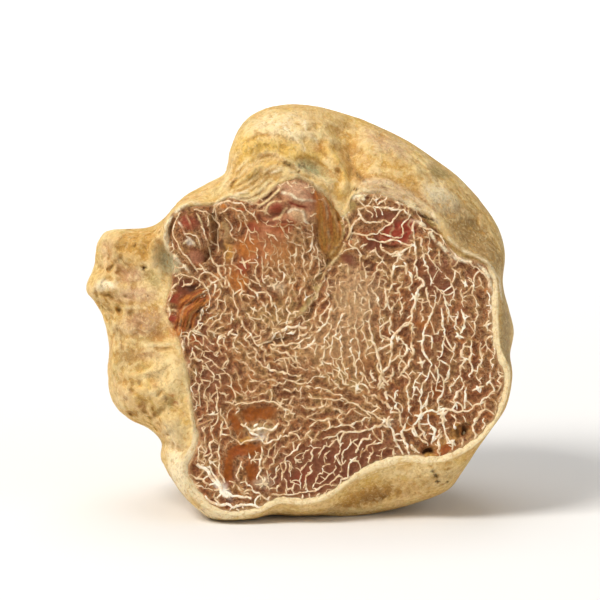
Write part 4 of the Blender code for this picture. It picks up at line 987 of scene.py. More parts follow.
    def creases(self, points: Points) -> Points:
        """How deep the fine creases of the skin are at each place."""
        deep = np.zeros(len(points))
        for spacing, depth in self.skin_creases:
            wander = bumps(points + CREASE_SHIFT, ((spacing, 1.0), (0.3 * spacing, 0.22)))
            broken = smoothstep(-0.15, 0.2, bumps(points - CREASE_SHIFT, ((1.6 * spacing, 1.0),)))
            deep += depth * broken * np.exp(-((wander / self.crease_width) ** 2))
        return deep

    def frontness(self, share: Points) -> Points:
        """One on the front, nought behind the widest line."""
        return 1 - smoothstep(self.belly_share * 0.5, self.belly_share * 1.15, share)

    def skin(self, angle: Points, share: Points) -> Points:
        """The finished skin.

        Args:
            angle: direction round CENTRE.
            share: 0 at the cut's edge, 1 at the end of the back.

        Returns:
            The places, (u, v, w).
        """
        plain = self.plain_skin(angle, share)
        outward = plain - np.array(CORE)
        outward /= np.linalg.norm(outward, axis=1, keepdims=True)
        behind = smoothstep(self.belly_share * 0.85, self.belly_share * 1.5, share)[:, None]
        before = self.frontness(share)[:, None]
        off_edge = smoothstep(0, self.belly_share * 0.4, share)[:, None]
        lobes = self.lobe_depth * (self.lobes(plain)[:, None] - self.lobe_level)
        uneven = (bumps(plain, self.skin_bumps) - self.creases(plain))[:, None]
        points = plain + outward * behind * (lobes + uneven)
        lip = self.lip(plain, self.run(share))[:, None]
        rougher = self.front_bumps + self.ear_bumps * smoothstep(*self.ear_reach, plain[:, 0])[:, None]
        toward = (self.front_lift(plain)[:, None] + rougher * off_edge * uneven + lip) * before
        return points - toward * np.array((0, 0, 1))

    def _mean_profile(self) -> tuple[Points, Points, Points, Points]:
        """Share, run along the skin, mean radius and flattening stretch, round the whole body."""
        angles = np.linspace(0, 2 * HALF_TURN, 72, endpoint=False)
        shares = np.linspace(0, 1, 241)
        rings = np.array([self.plain_skin(angles, np.full_like(angles, share)) for share in shares])
        middles = rings.mean(axis=1, keepdims=True)
        radii = np.linalg.norm((rings - middles)[..., :2], axis=2).mean(axis=1)
        steps = np.linalg.norm(np.diff(rings, axis=0), axis=2).mean(axis=1)
        run = np.concatenate([[0], np.cumsum(steps)])
        stretch = np.concatenate([[0], np.cumsum(steps / np.maximum(radii[1:], 0.3))])
        return shares, run, radii, stretch

    def run(self, share: Points) -> Points:
        """Mean distance along the skin from the cut's edge at each share."""
        return np.interp(share, self.profile[0], self.profile[1])


@dataclass
class Stand:
    """How the cut's frame is leaned back and stood on the floor, in metres.

    Args:
        middle: where the body's middle goes, (x, y) in millimetres.
        lean: how far the cut face leans back, in degrees.
        drop: the floor lies this far under the cut frame's zero.
    """

    middle: tuple[float, float]
    lean: float = 9.0
    drop: float = 0.8
    shift: tuple[float, float] = (0.0, 0.0)

    @property
    def lean_parts(self) -> tuple[float, float]:
        """Cosine and sine of the lean."""
        return math.cos(math.radians(self.lean)), math.sin(math.radians(self.lean))

    def leaned(self, points: Points) -> Points:
        """The points leaned back and pressed flat on the floor, in millimetres."""
        c, s = self.lean_parts
        u, v, w = points.T
        y = v * s + w * c
        z = v * c - w * s + self.drop
        return np.column_stack([u - self.shift[0], y - self.shift[1], np.maximum(z, 0)])

    def settle(self, body: Points) -> None:
        """Moves the stand so that this body's box is centred on the middle."""
        leaned = self.leaned(body)
        centre = (leaned.min(0) + leaned.max(0)) / 2
        self.shift = (centre[0] - self.middle[0], centre[1] - self.middle[1])

    def place(self, points: Points) -> Points:
        """The points in metres, where they stand."""
        return self.leaned(points) * MM

    def matrix(self) -> Matrix:
        """The same for a mesh whose axes are u, v and towards the viewer."""
        c, s = self.lean_parts
        rows = ((1, 0, 0, -self.shift[0]), (0, s, -c, -self.shift[1]), (0, c, s, self.drop), (0, 0, 0, 1))
        return Matrix.Scale(MM, 4) @ Matrix(rows)


def tint(points: Points, dabs: Sequence) -> Points:
    """The tints laid over each other at each place.

    Args:
        points: the places, (u, v, ...).
        dabs: rows of tinted places.

    Returns:
        Red, green, blue and strength at each place.
    """
    u, v = strayed(points, TINT_STRAYS)
    laid, strength = np.zeros((len(points), 3)), np.zeros(len(points))

    def lay(mask: Points, tone: Tone) -> None:
        """Lays one tint over what is there."""
        nonlocal laid, strength
        laid = laid * (1 - mask[:, None]) + np.array(tone.value) * mask[:, None]
        strength = strength * (1 - mask) + mask

    for _, *place, tone, amount in dabs:
        lay(amount * dab_shape(u, v, place, TINT_EDGE), tone)
    u, v = strayed(points, Form.strays)
    broken = np.clip(0.85 + bumps(points, LINE_BREAKS), 0.15, 1.2)
    for _, half_width, _, tone, amount, line in (*LINES, *fan_welts()):
        if not amount:
            continue
        distance, share = nearest_on_line(u, v, smooth_line(line))
        across = np.exp(-((distance / half_width) ** 2))
        lay(np.minimum(amount * broken, 1) * ends_faded(share, LINE_FADE) * across, tone)
    return np.column_stack([laid / np.maximum(strength, 1e-4)[:, None], strength])


def read_out(rows: Iterable, name: str, width: int, kind: type = np.float32) -> Points:
    """One of a mesh's own lists as an array, this many numbers to a row."""
    numbers = np.empty(len(rows) * width, kind)
    rows.foreach_get(name, numbers)
    return numbers.reshape(-1, width)


def hollowness(mesh: bpy.types.Mesh, rounds: int = 3) -> Points:
    """How hollow the surface is at each vertex, from its neighbours.

    Args:
        mesh: the finished mesh.
        rounds: how often the result is evened out.

    Returns:
        Under nought on ridges and over nought in hollows, in metres.
    """
    places = read_out(mesh.vertices, "co", 3)
    normals = read_out(mesh.vertex_normals, "vector", 3)
    one, other = read_out(mesh.edges, "vertices", 2, np.int32).T
    count = np.bincount(one, minlength=len(places)) + np.bincount(other, minlength=len(places))

    def around(values: Points) -> Points:
        """Mean of each vertex's neighbours."""
        total = np.column_stack([
            np.bincount(one, column[other], len(places)) + np.bincount(other, column[one], len(places))
            for column in values.reshape(len(places), -1).T
        ])
        return (total / count[:, None]).reshape(values.shape)

    wide = places
    for _ in range(rounds):
        wide = around(wide)
    hollow = ((wide - places) * normals).sum(axis=1)
    return 0.5 * hollow + 0.5 * around(hollow)


def carry(mesh: bpy.types.Mesh, label: str, numbers: Points) -> None:
    """Puts values on a mesh's vertices, one number or a colour's four for each."""
    if numbers.ndim == 2:
        layer, slot = mesh.color_attributes.new(label, "FLOAT_COLOR", "POINT"), "color"
    else:
        layer, slot = mesh.attributes.new(label, "FLOAT", "POINT"), "value"
    layer.data.foreach_set(slot, numbers.astype(np.float32).ravel())


def stood(name: str, data: bpy.types.ID) -> bpy.types.Object:
    """A new object that shows this mesh, lamp or camera."""
    thing = bpy.data.objects.new(name, data)
    bpy.context.scene.collection.objects.link(thing)
    return thing


def make_mesh(name: str, points: Points, faces: list, values: dict[str, Points]) -> bpy.types.Object:
    """A smooth mesh object with its own values at its vertices, and how hollow it is there.

    Args:
        name: the piece's name.
        points: where its vertices stand, in metres.
        faces: its triangles.
        values: each attribute's name and its values.

    Returns:
        The object.
    """
    mesh = bpy.data.meshes.new(name)
    mesh.from_pydata(points.tolist(), [], faces)
    mesh.shade_smooth()
    for label, numbers in values.items():
        carry(mesh, label, numbers)
    carry(mesh, "hollow", hollowness(mesh) / MM)
    return stood(name, mesh)


# ---------------------------------------------------------------- the net of veins
# Which way the veins run: u, v, degrees.
FLOW = (
    (28, 22, 88), (27, 30, 84), (25, 35, 125), (20, 38, 128), (16, 41, 118), (20, 30, 93), (20, 22, 90),
    (15, 33, 95), (15, 26, 84), (15, 20, 84), (10, 30, 94), (10, 22, 100), (5, 28, 62), (6, 22, 110),
    (4, 33, 82), (24, 15, 75), (20, 12, 100), (15, 10, 115), (9, 38, 60), (11, 44, 60), (14, 43, 110),
    (10, 9, 55), (6, 7, 48), (2, 6, 58), (-2, 5, 75), (6, 12, 30), (1, 11, 32), (-2, 9, 55), (5, 16, 4),
    (0, 18, -8), (9, 17, -15), (-4, 19, 25), (-8, 8, 82), (-13, 10, 72), (-12, 14, 62), (-14, 4, -42),
    (-9, 3, -25), (-13, 18, 95), (-11, 21, 125), (-14, 24, -52), (-7, 23, -38), (-3, 23, -35),
    (-1, 27, 28), (-6, 28, 115), (-10, 27, 55), (-12, 31, 75), (-6, 33, 110), (0, 35, 90), (-10, 36, 95),
    (-15, 36, 80), (-15, 41, 95), (-9, 44, 10), (-4, 42, 130), (0, 45, 0), (-2, 38, 110), (-16, 31, 35),
)

# The veins that stand out: name, half width, points (u, v).
GREAT_VEINS = (
    ("main upright", 0.21,
     ((16.8, 34.6), (17.4, 33.4), (16.2, 31.0), (15.6, 28.2), (13.4, 26.6), (12.9, 24.0), (12.2, 21.4),
      (11.0, 19.2))),
    ("left upright", 0.21,
     ((8.9, 36.4), (9.6, 33.0), (9.9, 29.0), (10.3, 25.0), (11.6, 21.4), (12.2, 19.0))),
    ("right upright", 0.16,
     ((17.8, 33.0), (18.6, 30.0), (18.0, 27.6), (17.5, 24.4), (18.4, 21.8), (17.2, 18.0), (17.0, 14.9),
      (15.9, 13.6))),
    ("far right upright", 0.15,
     ((20.0, 30.0), (20.4, 26.8), (20.0, 24.0), (19.6, 22.6), (21.2, 21.6), (20.0, 18.2), (19.8, 15.6),
      (20.6, 12.6), (21.8, 10.4))),
    ("great vein", 0.26, ((-6.2, 24.8), (-4.6, 25.4), (-3.6, 26.6), (-1.4, 27.2), (0.8, 27.4))),
    ("great vein tail", 0.16, ((-6.2, 24.8), (-7.6, 26.8), (-9.0, 29.4), (-9.6, 32.0), (-10.6, 34.6))),
    ("great vein below", 0.2, ((-4.4, 24.6), (-1.6, 24.8), (1.2, 25.8), (3.4, 27.6), (4.4, 30.4))),
    ("white streak", 0.31, ((-14.4, 8.0), (-13.2, 6.8), (-12.2, 5.4), (-11.0, 4.0), (-10.0, 3.2))),
    ("second white streak", 0.24, ((-13.0, 7.6), (-12.0, 6.2), (-11.2, 4.6), (-9.2, 3.4), (-6.8, 3.2))),
    ("third white streak", 0.26, ((-13.4, 3.4), (-12.0, 2.4), (-10.0, 2.0), (-7.8, 1.9), (-5.6, 2.0))),
    ("white arc", 0.24, ((-8.4, 13.7), (-7.2, 13.0), (-5.8, 12.7), (-4.2, 12.9), (-2.9, 13.5))),
    ("under the arc", 0.22, ((-7.2, 13.0), (-6.2, 12.0), (-5.2, 11.2), (-3.9, 11.0), (-2.8, 12.0))),
    ("left of the patch", 0.15,
     ((-11.2, 15.6), (-10.9, 14.0), (-10.0, 12.4), (-9.0, 11.0), (-7.0, 11.2), (-6.0, 11.6))),
    ("lobe side", 0.19,
     ((-13.9, 41.6), (-13.4, 40.0), (-12.9, 38.2), (-12.2, 36.4), (-11.2, 34.8), (-10.6, 33.0))),
    ("lobe, right", 0.18,
     ((-15.0, 44.0), (-13.4, 43.6), (-12.2, 42.8), (-11.6, 41.4), (-11.8, 39.6), (-11.6, 38.2))),
    ("lobe, left", 0.18,
     ((-17.0, 43.4), (-17.9, 42.0), (-17.7, 40.2), (-16.8, 38.4), (-15.6, 36.8), (-14.6, 35.2))),
    ("lobe, inside", 0.13, ((-16.4, 40.6), (-15.4, 40.4), (-14.4, 39.6), (-14.2, 38.2))),
    ("top lobe, round", 0.19,
     ((-12.4, 43.6), (-11.5, 44.8), (-10.0, 45.1), (-8.2, 44.5), (-6.8, 43.4), (-6.0, 42.0))),
    ("top lobe, second line", 0.14, ((-11.4, 43.4), (-10.0, 44.2), (-8.4, 43.6), (-7.2, 42.4))),
    ("strand under the top lobe", 0.13, ((-10.7, 42.9), (-9.9, 41.8), (-9.7, 40.6), (-9.0, 39.6))),
    ("second strand under it", 0.13, ((-9.0, 43.2), (-8.4, 42.0), (-8.7, 40.8))),
    ("third strand under it", 0.13, ((-7.6, 42.6), (-7.0, 41.2), (-6.2, 40.6), (-5.8, 39.4))),
    ("over the red cells", 0.2, ((8.4, 44.0), (10.0, 44.6), (12.2, 44.2), (14.2, 43.9), (15.6, 43.2))),
    ("cell, top left", 0.18,
     ((8.4, 44.0), (8.6, 42.8), (9.8, 42.2), (11.6, 42.5), (12.9, 42.3), (14.2, 43.9))),
    ("cell, left", 0.17,
     ((8.6, 42.8), (7.6, 42.0), (7.4, 40.6), (9.4, 40.4), (11.2, 40.8), (12.7, 42.2))),
    ("cell, low left", 0.16,
     ((9.4, 40.4), (10.0, 39.7), (11.7, 39.4), (13.4, 39.7), (14.4, 39.1), (15.8, 39.0))),
    ("cell, middle", 0.16,
     ((11.2, 40.8), (12.3, 40.3), (13.6, 40.1), (14.7, 40.6), (14.6, 42.2), (15.4, 43.2))),
    ("cell, foot", 0.17, ((11.7, 39.4), (11.5, 38.4), (12.6, 37.7), (14.3, 38.0), (15.7, 39.0))),
    ("beside the red cells", 0.19,
     ((16.2, 42.4), (16.0, 40.2), (16.2, 38.2), (16.5, 36.0), (16.8, 34.0))),
    ("stroke", 0.13, ((9.5, 44.5), (9.9, 43.4), (10.0, 42.9))),
    ("second stroke", 0.13, ((10.3, 44.5), (10.6, 43.6), (10.8, 43.0))),
    ("third stroke", 0.12, ((11.1, 44.3), (11.5, 43.5), (11.7, 43.1))),
    ("cell by the crease", 0.15, ((7.4, 40.6), (6.9, 39.2), (7.9, 38.6), (8.6, 37.4), (8.4, 36.0))),
    ("brown cell, round", 0.14, ((5.4, 37.6), (6.6, 38.2), (7.9, 38.6))),
    ("line by the right edge", 0.19,
     ((17.0, 41.6), (19.2, 40.8), (20.6, 39.2), (21.4, 37.8), (23.2, 36.8), (25.2, 35.8), (26.6, 34.2),
      (27.2, 32.4))),
    ("under the torn lobes", 0.14, ((-16.2, 24.8), (-15.6, 26.6), (-14.0, 26.2), (-12.4, 24.8))),
    ("over the torn hollow", 0.16,
     ((-17.6, 34.4), (-15.6, 34.6), (-13.8, 33.4), (-12.8, 31.6), (-13.2, 29.6))),
    ("arch line", 0.14, ((-11.4, 11.2), (-11.5, 9.0), (-11.3, 6.6), (-10.6, 5.2))),
    ("inside the arch", 0.18, ((-8.2, 8.4), (-8.7, 7.2), (-9.1, 5.8))),
    ("low bow", 0.16, ((1.0, 17.4), (3.4, 17.2), (6.6, 17.0), (9.0, 15.4), (12.4, 14.0))),
    ("hub spoke", 0.17, ((12.4, 14.0), (9.4, 12.6), (6.2, 12.4), (3.2, 11.4))),
    ("low hub spoke", 0.17, ((12.4, 14.0), (13.4, 11.6), (14.6, 9.2))),
    ("right bow", 0.16, ((17.0, 14.9), (19.9, 15.6), (23.0, 15.4), (25.6, 16.6), (27.6, 18.4))),
    ("left zigzag", 0.14, ((-15.0, 24.6), (-12.6, 22.4), (-10.2, 20.6), (-9.6, 18.6), (-9.0, 16.8))),
    ("patch upper edge", 0.15, ((-10.6, 16.4), (-8.0, 16.5), (-5.0, 16.7), (-2.8, 16.2), (-2.0, 14.6))),
    ("upper left branch", 0.16, ((-14.4, 36.2), (-13.6, 35.4), (-12.0, 34.4), (-11.0, 33.0))),
    ("foot line", 0.16, ((-4.0, 3.6), (-0.6, 3.6), (2.6, 4.4), (5.6, 6.4))),
)

# Stars where veins meet: u, v, arms, reach, half width.
STARS = (
    (12.4, 13.9, 5, 1.2, 0.2), (20.2, 14.9, 5, 1.4, 0.2), (17.0, 14.6, 4, 1.0, 0.16),
    (21.6, 11.0, 4, 1.1, 0.18), (11.6, 19.2, 5, 1.0, 0.18), (17.2, 22.2, 4, 1.0, 0.17),
    (14.0, 37.4, 5, 1.0, 0.17), (-5.2, 5.2, 6, 1.4, 0.18), (-11.2, 4.4, 5, 1.4, 0.2),
    (8.0, 18.9, 5, 1.2, 0.16), (-3.8, 33.2, 5, 1.0, 0.15), (13.8, 25.6, 4, 0.9, 0.15),
    (-8.0, 36.4, 5, 1.2, 0.17), (-12.6, 33.6, 4, 1.2, 0.15), (25.2, 18.6, 4, 1.0, 0.16),
    (26.4, 27.6, 4, 1.0, 0.15), (-2.8, 16.4, 4, 1.0, 0.15), (-9.4, 24.4, 4, 0.9, 0.14),
    (-12.4, 15.0, 4, 0.9, 0.14), (3.2, 24.4, 4, 0.9, 0.14), (16.2, 31.6, 4, 1.0, 0.15),
    (22.4, 26.0, 4, 1.0, 0.15), (7.4, 8.4, 4, 1.0, 0.15), (-6.6, 29.8, 4, 0.9, 0.14),
    (23.4, 33.4, 4, 1.0, 0.15), (-0.6, 8.4, 4, 0.9, 0.14),
)
STAR_REACH = 1.1  # veins are fatter and paler this near a star's middle
BROAD_VEIN = 0.22  # a great vein this wide is nearly white

# Where no vein runs: u, v, half length, half width, turn in degrees.
BARE = (
    (22.6, 28.2, 0.5, 0.5, 0), (-9.0, 9.5, 1.7, 0.9, 0), (24.2, 17.2, 0.5, 0.5, 0),
    (-6.2, 14.9, 3.2, 1.2, 4), (-9.2, 13.9, 0.9, 1.4, 30), (-10.2, 8.2, 0.8, 2.6, -6),
    (-7.6, 10.5, 2.4, 0.8, 8), (-7.4, 7.0, 0.6, 2.0, 12), (4.2, 40.8, 1.8, 4.6, 8),
    (18.2, 9.7, 1.2, 0.8, 0), (23.0, 12.5, 1.5, 1.0, 35), (-16.4, 30.2, 2.2, 3.2, -12),
    (12.2, 41.4, 4.4, 2.8, 0), (7.2, 44.6, 0.9, 1.1, 0), (6.8, 37.2, 1.2, 0.9, -15),
    (-1.4, 44.8, 4.0, 2.4, -8), (-15.4, 40.0, 2.4, 4.4, 8), (-10.4, 41.0, 1.1, 2.2, 4),
    (-9.4, 44.0, 2.6, 1.0, 0),
)

# How strong and pale the veins are: u, v, half length, half width, turn, change.
VIGOUR = (
    (22.0, 24.0, 9.0, 16.0, 0, 0.24), (14.0, 13.0, 10.0, 6.0, 20, 0.22), (7.8, 32.8, 4.4, 4.6, 0, -0.28),
    (9.0, 24.6, 6.0, 4.6, 0, 0.1), (-1.6, 43.6, 5.4, 4.6, 0, -0.3), (-8.0, 20.0, 7.0, 8.0, 0, -0.12),
    (2.0, 21.0, 5.0, 4.0, 0, -0.12), (-8.0, 37.0, 8.0, 6.0, 0, -0.16), (-9.0, 5.0, 7.0, 5.0, 0, 0.1),
    (12.0, 41.0, 5.0, 4.0, 0, 0.15),
)


@dataclass
class Strand:
    """One vein: where it runs, (u, v), its half width and its paleness at each point."""

    line: Points
    girth: Points
    pale: Points


@dataclass
class VeinNet:
    """The net of veins, grown over the cut along the flow, with stars, links and spurs.

    Args:
        form: the truffle's form.
        seed: of every random draw.
        apart: least distance between two veins, before the place changes it.
        step, side_step: distance between a vein's points, and between a side vein's.
        misses: starts that fail in a row before the cut counts as full.
        rim_gap: how far inside the cut's edge a vein starts.
        strength: of the veins where nothing changes it.
        meander: width and height of the wandering of the flow, on a slow and a fast scale.
        kink, kink_run: how far a vein strays from the flow, and for how many points.
        momentum: share of its last heading that it keeps.
        meeting, crowding: a vein ends, or may start, at this share of the distance between veins.
        run_lengths, girths, palenesses: least and most of a common vein's half length, half width
            and paleness.
        great_wobble, common_wobble: width, height and layer of each kind of wobble.
        side_reaches: lengths that side veins pick from, short thorns and long links.
        link_gap: a side vein this near another vein joins it.
        thorn: half width that a side vein tapers to.
    """

    form: Form
    seed: int = 7
    apart: float = 1.02
    step: float = 0.22
    side_step: float = 0.2
    misses: int = 1400
    rim_gap: float = 0.55
    strength: float = 0.86
    meander: tuple = ((3.6, 0.75, 0), (1.1, 0.45, 4))
    kink: float = 0.62
    kink_run: int = 3
    momentum: float = 0.15
    meeting: float = 0.52
    crowding: float = 0.9
    run_lengths: tuple = (0.6, 5.5)
    girths: tuple = (0.10, 0.18)
    palenesses: tuple = (0.60, 1.15)
    great_wobble: tuple = ((1.1, 0.46, 5.0), (0.36, 0.12, 3.5))
    common_wobble: tuple = ((0.8, 0.34, 1.5), (0.36, 0.12, 3.5))
    side_reaches: tuple = (0.5, 0.6, 0.8, 2.0, 2.2, 2.2)
    link_gap: float = 0.28
    thorn: float = 0.07
    strands: list[Strand] = field(default_factory=list)
    draw: random.Random = field(init=False)
    guides: Points = field(init=False)
    taken: Points = field(init=False)
    count: int = 0

    def __post_init__(self) -> None:
        """Prepares the draws, the flow's guides and room for the points."""
        self.draw = random.Random(self.seed)
        self.guides = np.array([(u, v, math.radians(2 * turn)) for u, v, turn in FLOW])
        self.taken = np.full((40000, 2), 1e6)

    def run_at(self, u: float, v: float) -> float:
        """The angle that the veins follow at a place."""
        du, dv = (self.guides[:, :2] - (u, v)).T
        weight = (du * du + dv * dv + 1.0) ** -1.5
        turn = self.guides[:, 2]
        angle = math.atan2((weight * np.sin(turn)).sum(), (weight * np.cos(turn)).sum()) / 2
        for width, height, layer in self.meander:
            angle += height * noise.noise(Vector((u, v, layer)) / width)
        unruly = 0.10 + 0.55 / (1 + math.exp(0.35 * (u - 2) - 0.25 * (v - 30)))
        return angle + 1.9 * unruly * noise.noise(Vector((u, v, 8)) / 2.0)

    def open_at(self, place: Points, gap: float) -> bool:
        """Whether a vein may run through a place this far inside the cut's edge."""
        du, dv = place[0] - CENTRE[0], place[1] - CENTRE[1]
        if math.hypot(du, dv) > float(self.form.rim.radius(np.arctan2(dv, du))):
            return False
        if self.form.edge.find((place[0], place[1], 0))[2] < gap:
            return False
        return all(
            dab_shape(np.array(place[0]), np.array(place[1]), bare, 2.0) < 0.4 for bare in BARE
        )

    def clearance(self, place: Points) -> float:
        """Distance from a place to the nearest vein so far."""
        away = self.taken[:self.count] - place
        return math.sqrt((away * away).sum(axis=1).min(initial=1e9))

    def spacing(self, place: Points) -> float:
        """Least distance between two veins at a place: less in the middle and on the left."""
        closer = smoothstep(14.0, 4.0, place[0] + 0.3 * (24.0 - place[1]))
        return self.apart * (1.06 - 0.20 * float(closer))

    def vigour(self, line: Points) -> Points:
        """How strong the veins are at each place: about one, and up to 1.4."""
        strength = np.full(len(line), self.strength)
        for *place, change in VIGOUR:
            strength += change * dab_shape(line[:, 0], line[:, 1], place, 1.3)
        return np.clip(strength, 0.3, 1.4)

    def wobbled(self, line: Points, kinds: Sequence) -> Points:
        """The line with its points pushed about by each kind of smooth noise in turn."""
        for width, height, layer in kinds:
            line = line + height * np.array([
                [noise.noise(Vector((u, v, layer + lift)) / width) for lift in (0, 6)] for u, v in line
            ])
        return line

    def swell(self, line: Points, width: float, height: float) -> Points:
        """How much fatter or thinner than its own width a vein is at each of its points."""
        return np.array([1 + height * noise.noise(Vector((u, v, 2)) / width) for u, v in line])

    def add(self, line: Points, girth: Points, pale: Points | float) -> None:
        """Keeps one vein, and its places so that others stay away.

        Args:
            line: its points.
            girth: its half width at each.
            pale: its paleness.
        """
        vigour = self.vigour(line)
        middles = np.array([star[:2] for star in STARS])
        near = np.hypot(*(line[:, None] - middles[None]).transpose(2, 0, 1)).min(axis=1)
        glow = np.exp(-((near / STAR_REACH) ** 2))
        girth = girth * (0.3 + 0.7 * vigour) * (1 + 0.35 * glow)
        self.strands.append(Strand(line, girth, pale * vigour + 0.18 * glow))
        self.taken[self.count:self.count + len(line)] = line
        self.count += len(line)

    def grown(self, start: Points, sign: int, limit: float) -> list[Points]:
        """A vein's points one way from its start, until it meets another or is long enough."""
        found, place, heading, kink = [], start, None, 0.0
        while len(found) * self.step < limit:
            if len(found) % self.kink_run == 0:
                kink = self.draw.uniform(-self.kink, self.kink)
            angle = self.run_at(*place) + kink
            ahead = np.array((math.cos(angle), math.sin(angle)))
            if heading is None:
                ahead = ahead * sign
            else:
                ahead = ahead if ahead @ heading > 0 else -ahead
                ahead = ahead * (1 - self.momentum) + heading * self.momentum
                ahead /= np.linalg.norm(ahead)
            place = place + ahead * self.step
            if not self.open_at(place, 0.1):
                break
            found.append(place)
            if self.clearance(place) < self.meeting * self.spacing(place):
                break
            heading = ahead
        return found

    def lay_great_veins(self) -> None:
        """The veins that stand out, each a little uneven."""
        for _, half_width, points in GREAT_VEINS:
            line = self.wobbled(spread_along(smooth_line(points, 8), self.step), self.great_wobble)
            pale = 0.95 if half_width < BROAD_VEIN else 1.35
            self.add(line, 0.85 * half_width * self.swell(line, 1.2, 0.6), pale)

    def lay_stars(self) -> None:
        """The stars, each a few crooked arms that taper outwards."""
        for u, v, arms, reach, half_width in STARS:
            turn = self.draw.uniform(0, 2 * HALF_TURN)
            for arm in range(arms):
                heading = turn + 2 * HALF_TURN * (arm + self.draw.uniform(-0.25, 0.25)) / arms
                length = reach * self.draw.uniform(0.55, 1.1)
                bend = self.draw.uniform(-0.35, 0.35)
                place, line = np.array((u, v)), [np.array((u, v))]
                while len(line) * self.step < length:
                    heading += bend * 0.5 + self.draw.uniform(-0.35, 0.35)
                    place = place + self.step * np.array((math.cos(heading), math.sin(heading)))
                    if not self.open_at(place, 0.3):
                        break
                    line.append(place)
                if len(line) < 3:
                    continue
                share = np.linspace(0, 1, len(line))
                girth = 0.55 * half_width * (1 - share) + 0.075
                self.add(np.array(line), girth, 1.0 - 0.2 * share)

    def lay_common_veins(self) -> None:
        """Veins along the flow wherever there is room."""
        low, high = self.form.rim.curve.min(0), self.form.rim.curve.max(0)
        missed = 0
        while missed < self.misses:
            missed += 1
            start = np.array((self.draw.uniform(low[0], high[0]), self.draw.uniform(low[1], high[1])))
            crowded = self.crowding * self.spacing(start)
            if not self.open_at(start, self.rim_gap) or self.clearance(start) < crowded:
                continue
            limit = self.draw.uniform(*self.run_lengths)
            line = self.grown(start, -1, limit)[::-1] + [start] + self.grown(start, 1, limit)
            if len(line) < 4:
                continue
            missed = 0
            line = self.wobbled(np.array(line), self.common_wobble)
            base = self.draw.uniform(*self.girths)
            share = np.linspace(0, 1, len(line))
            girth = base * (0.5 + 0.5 * ends_faded(share, 0.2)) * self.swell(line, 0.7, 1.1)
            self.add(line, girth, self.draw.uniform(*self.palenesses))

    def lay_links_and_spurs(self) -> None:
        """Short side veins: some reach a neighbour, the others end as thorns."""
        parents = list(self.strands)
        owner = np.concatenate([np.full(len(strand.line), index) for index, strand in enumerate(parents)])
        places = np.vstack([strand.line for strand in parents])
        for index, strand in enumerate(parents):
            gap, run = self.draw.uniform(0.3, 1.1), 0.0
            for at in range(1, len(strand.line) - 1):
                run += self.step
                if run < gap:
                    continue
                sparse = 1.5 - 0.5 * smoothstep(4, 14, strand.line[at, 0])
                run, gap = 0.0, self.draw.uniform(0.45, 1.5) * sparse
                self._side_vein(strand, at, places, owner == index)

    def _side_vein(self, strand: Strand, at: int, places: Points, own: Points) -> None:
        """One side vein from a strand's point, kept clear of the strand's own points."""
        along = strand.line[at + 1] - strand.line[at - 1]
        heading = math.atan2(along[1], along[0]) + self.draw.choice((-1, 1)) * math.radians(
            self.draw.uniform(35, 85)
        )
        if self.draw.random() < 0.5:
            heading += HALF_TURN
        reach = self.draw.choice(self.side_reaches)
        bend = self.draw.uniform(-0.22, 0.22)
        line, place, met = [strand.line[at]], strand.line[at], False
        for _ in range(round(reach / self.side_step)):
            heading += bend
            place = place + self.side_step * np.array((math.cos(heading), math.sin(heading)))
            if not self.open_at(place, 0.15):
                break
            line.append(place)
            away = np.hypot(*(places - place).T)
            away[own] = math.inf
            if len(line) > 2 and away.min() < self.link_gap:
                line.append(places[away.argmin()])
                met = True
                break
        if len(line) < 3:
            return
        if reach > 1.5 and not met:
            line = line[:max(3, len(line) // 3)]
        width = min(strand.girth[at], 0.15)
        girth = np.full(len(line), width * 0.9) if met else np.linspace(width, self.thorn, len(line))
        self.strands.append(Strand(np.array(line), girth, np.full(len(line), strand.pale[at] * 0.9)))

    def grow(self) -> list[Strand]:
        """All the strands, great ones first."""
        self.lay_great_veins()
        self.lay_stars()
        self.lay_common_veins()
        self.lay_links_and_spurs()
        return self.strands


# ---------------------------------------------------------------- shader nodes
def colour(tone: Sequence[float]) -> tuple[float, ...]:
    """The tone with full alpha."""
    return (*tone, 1.0)


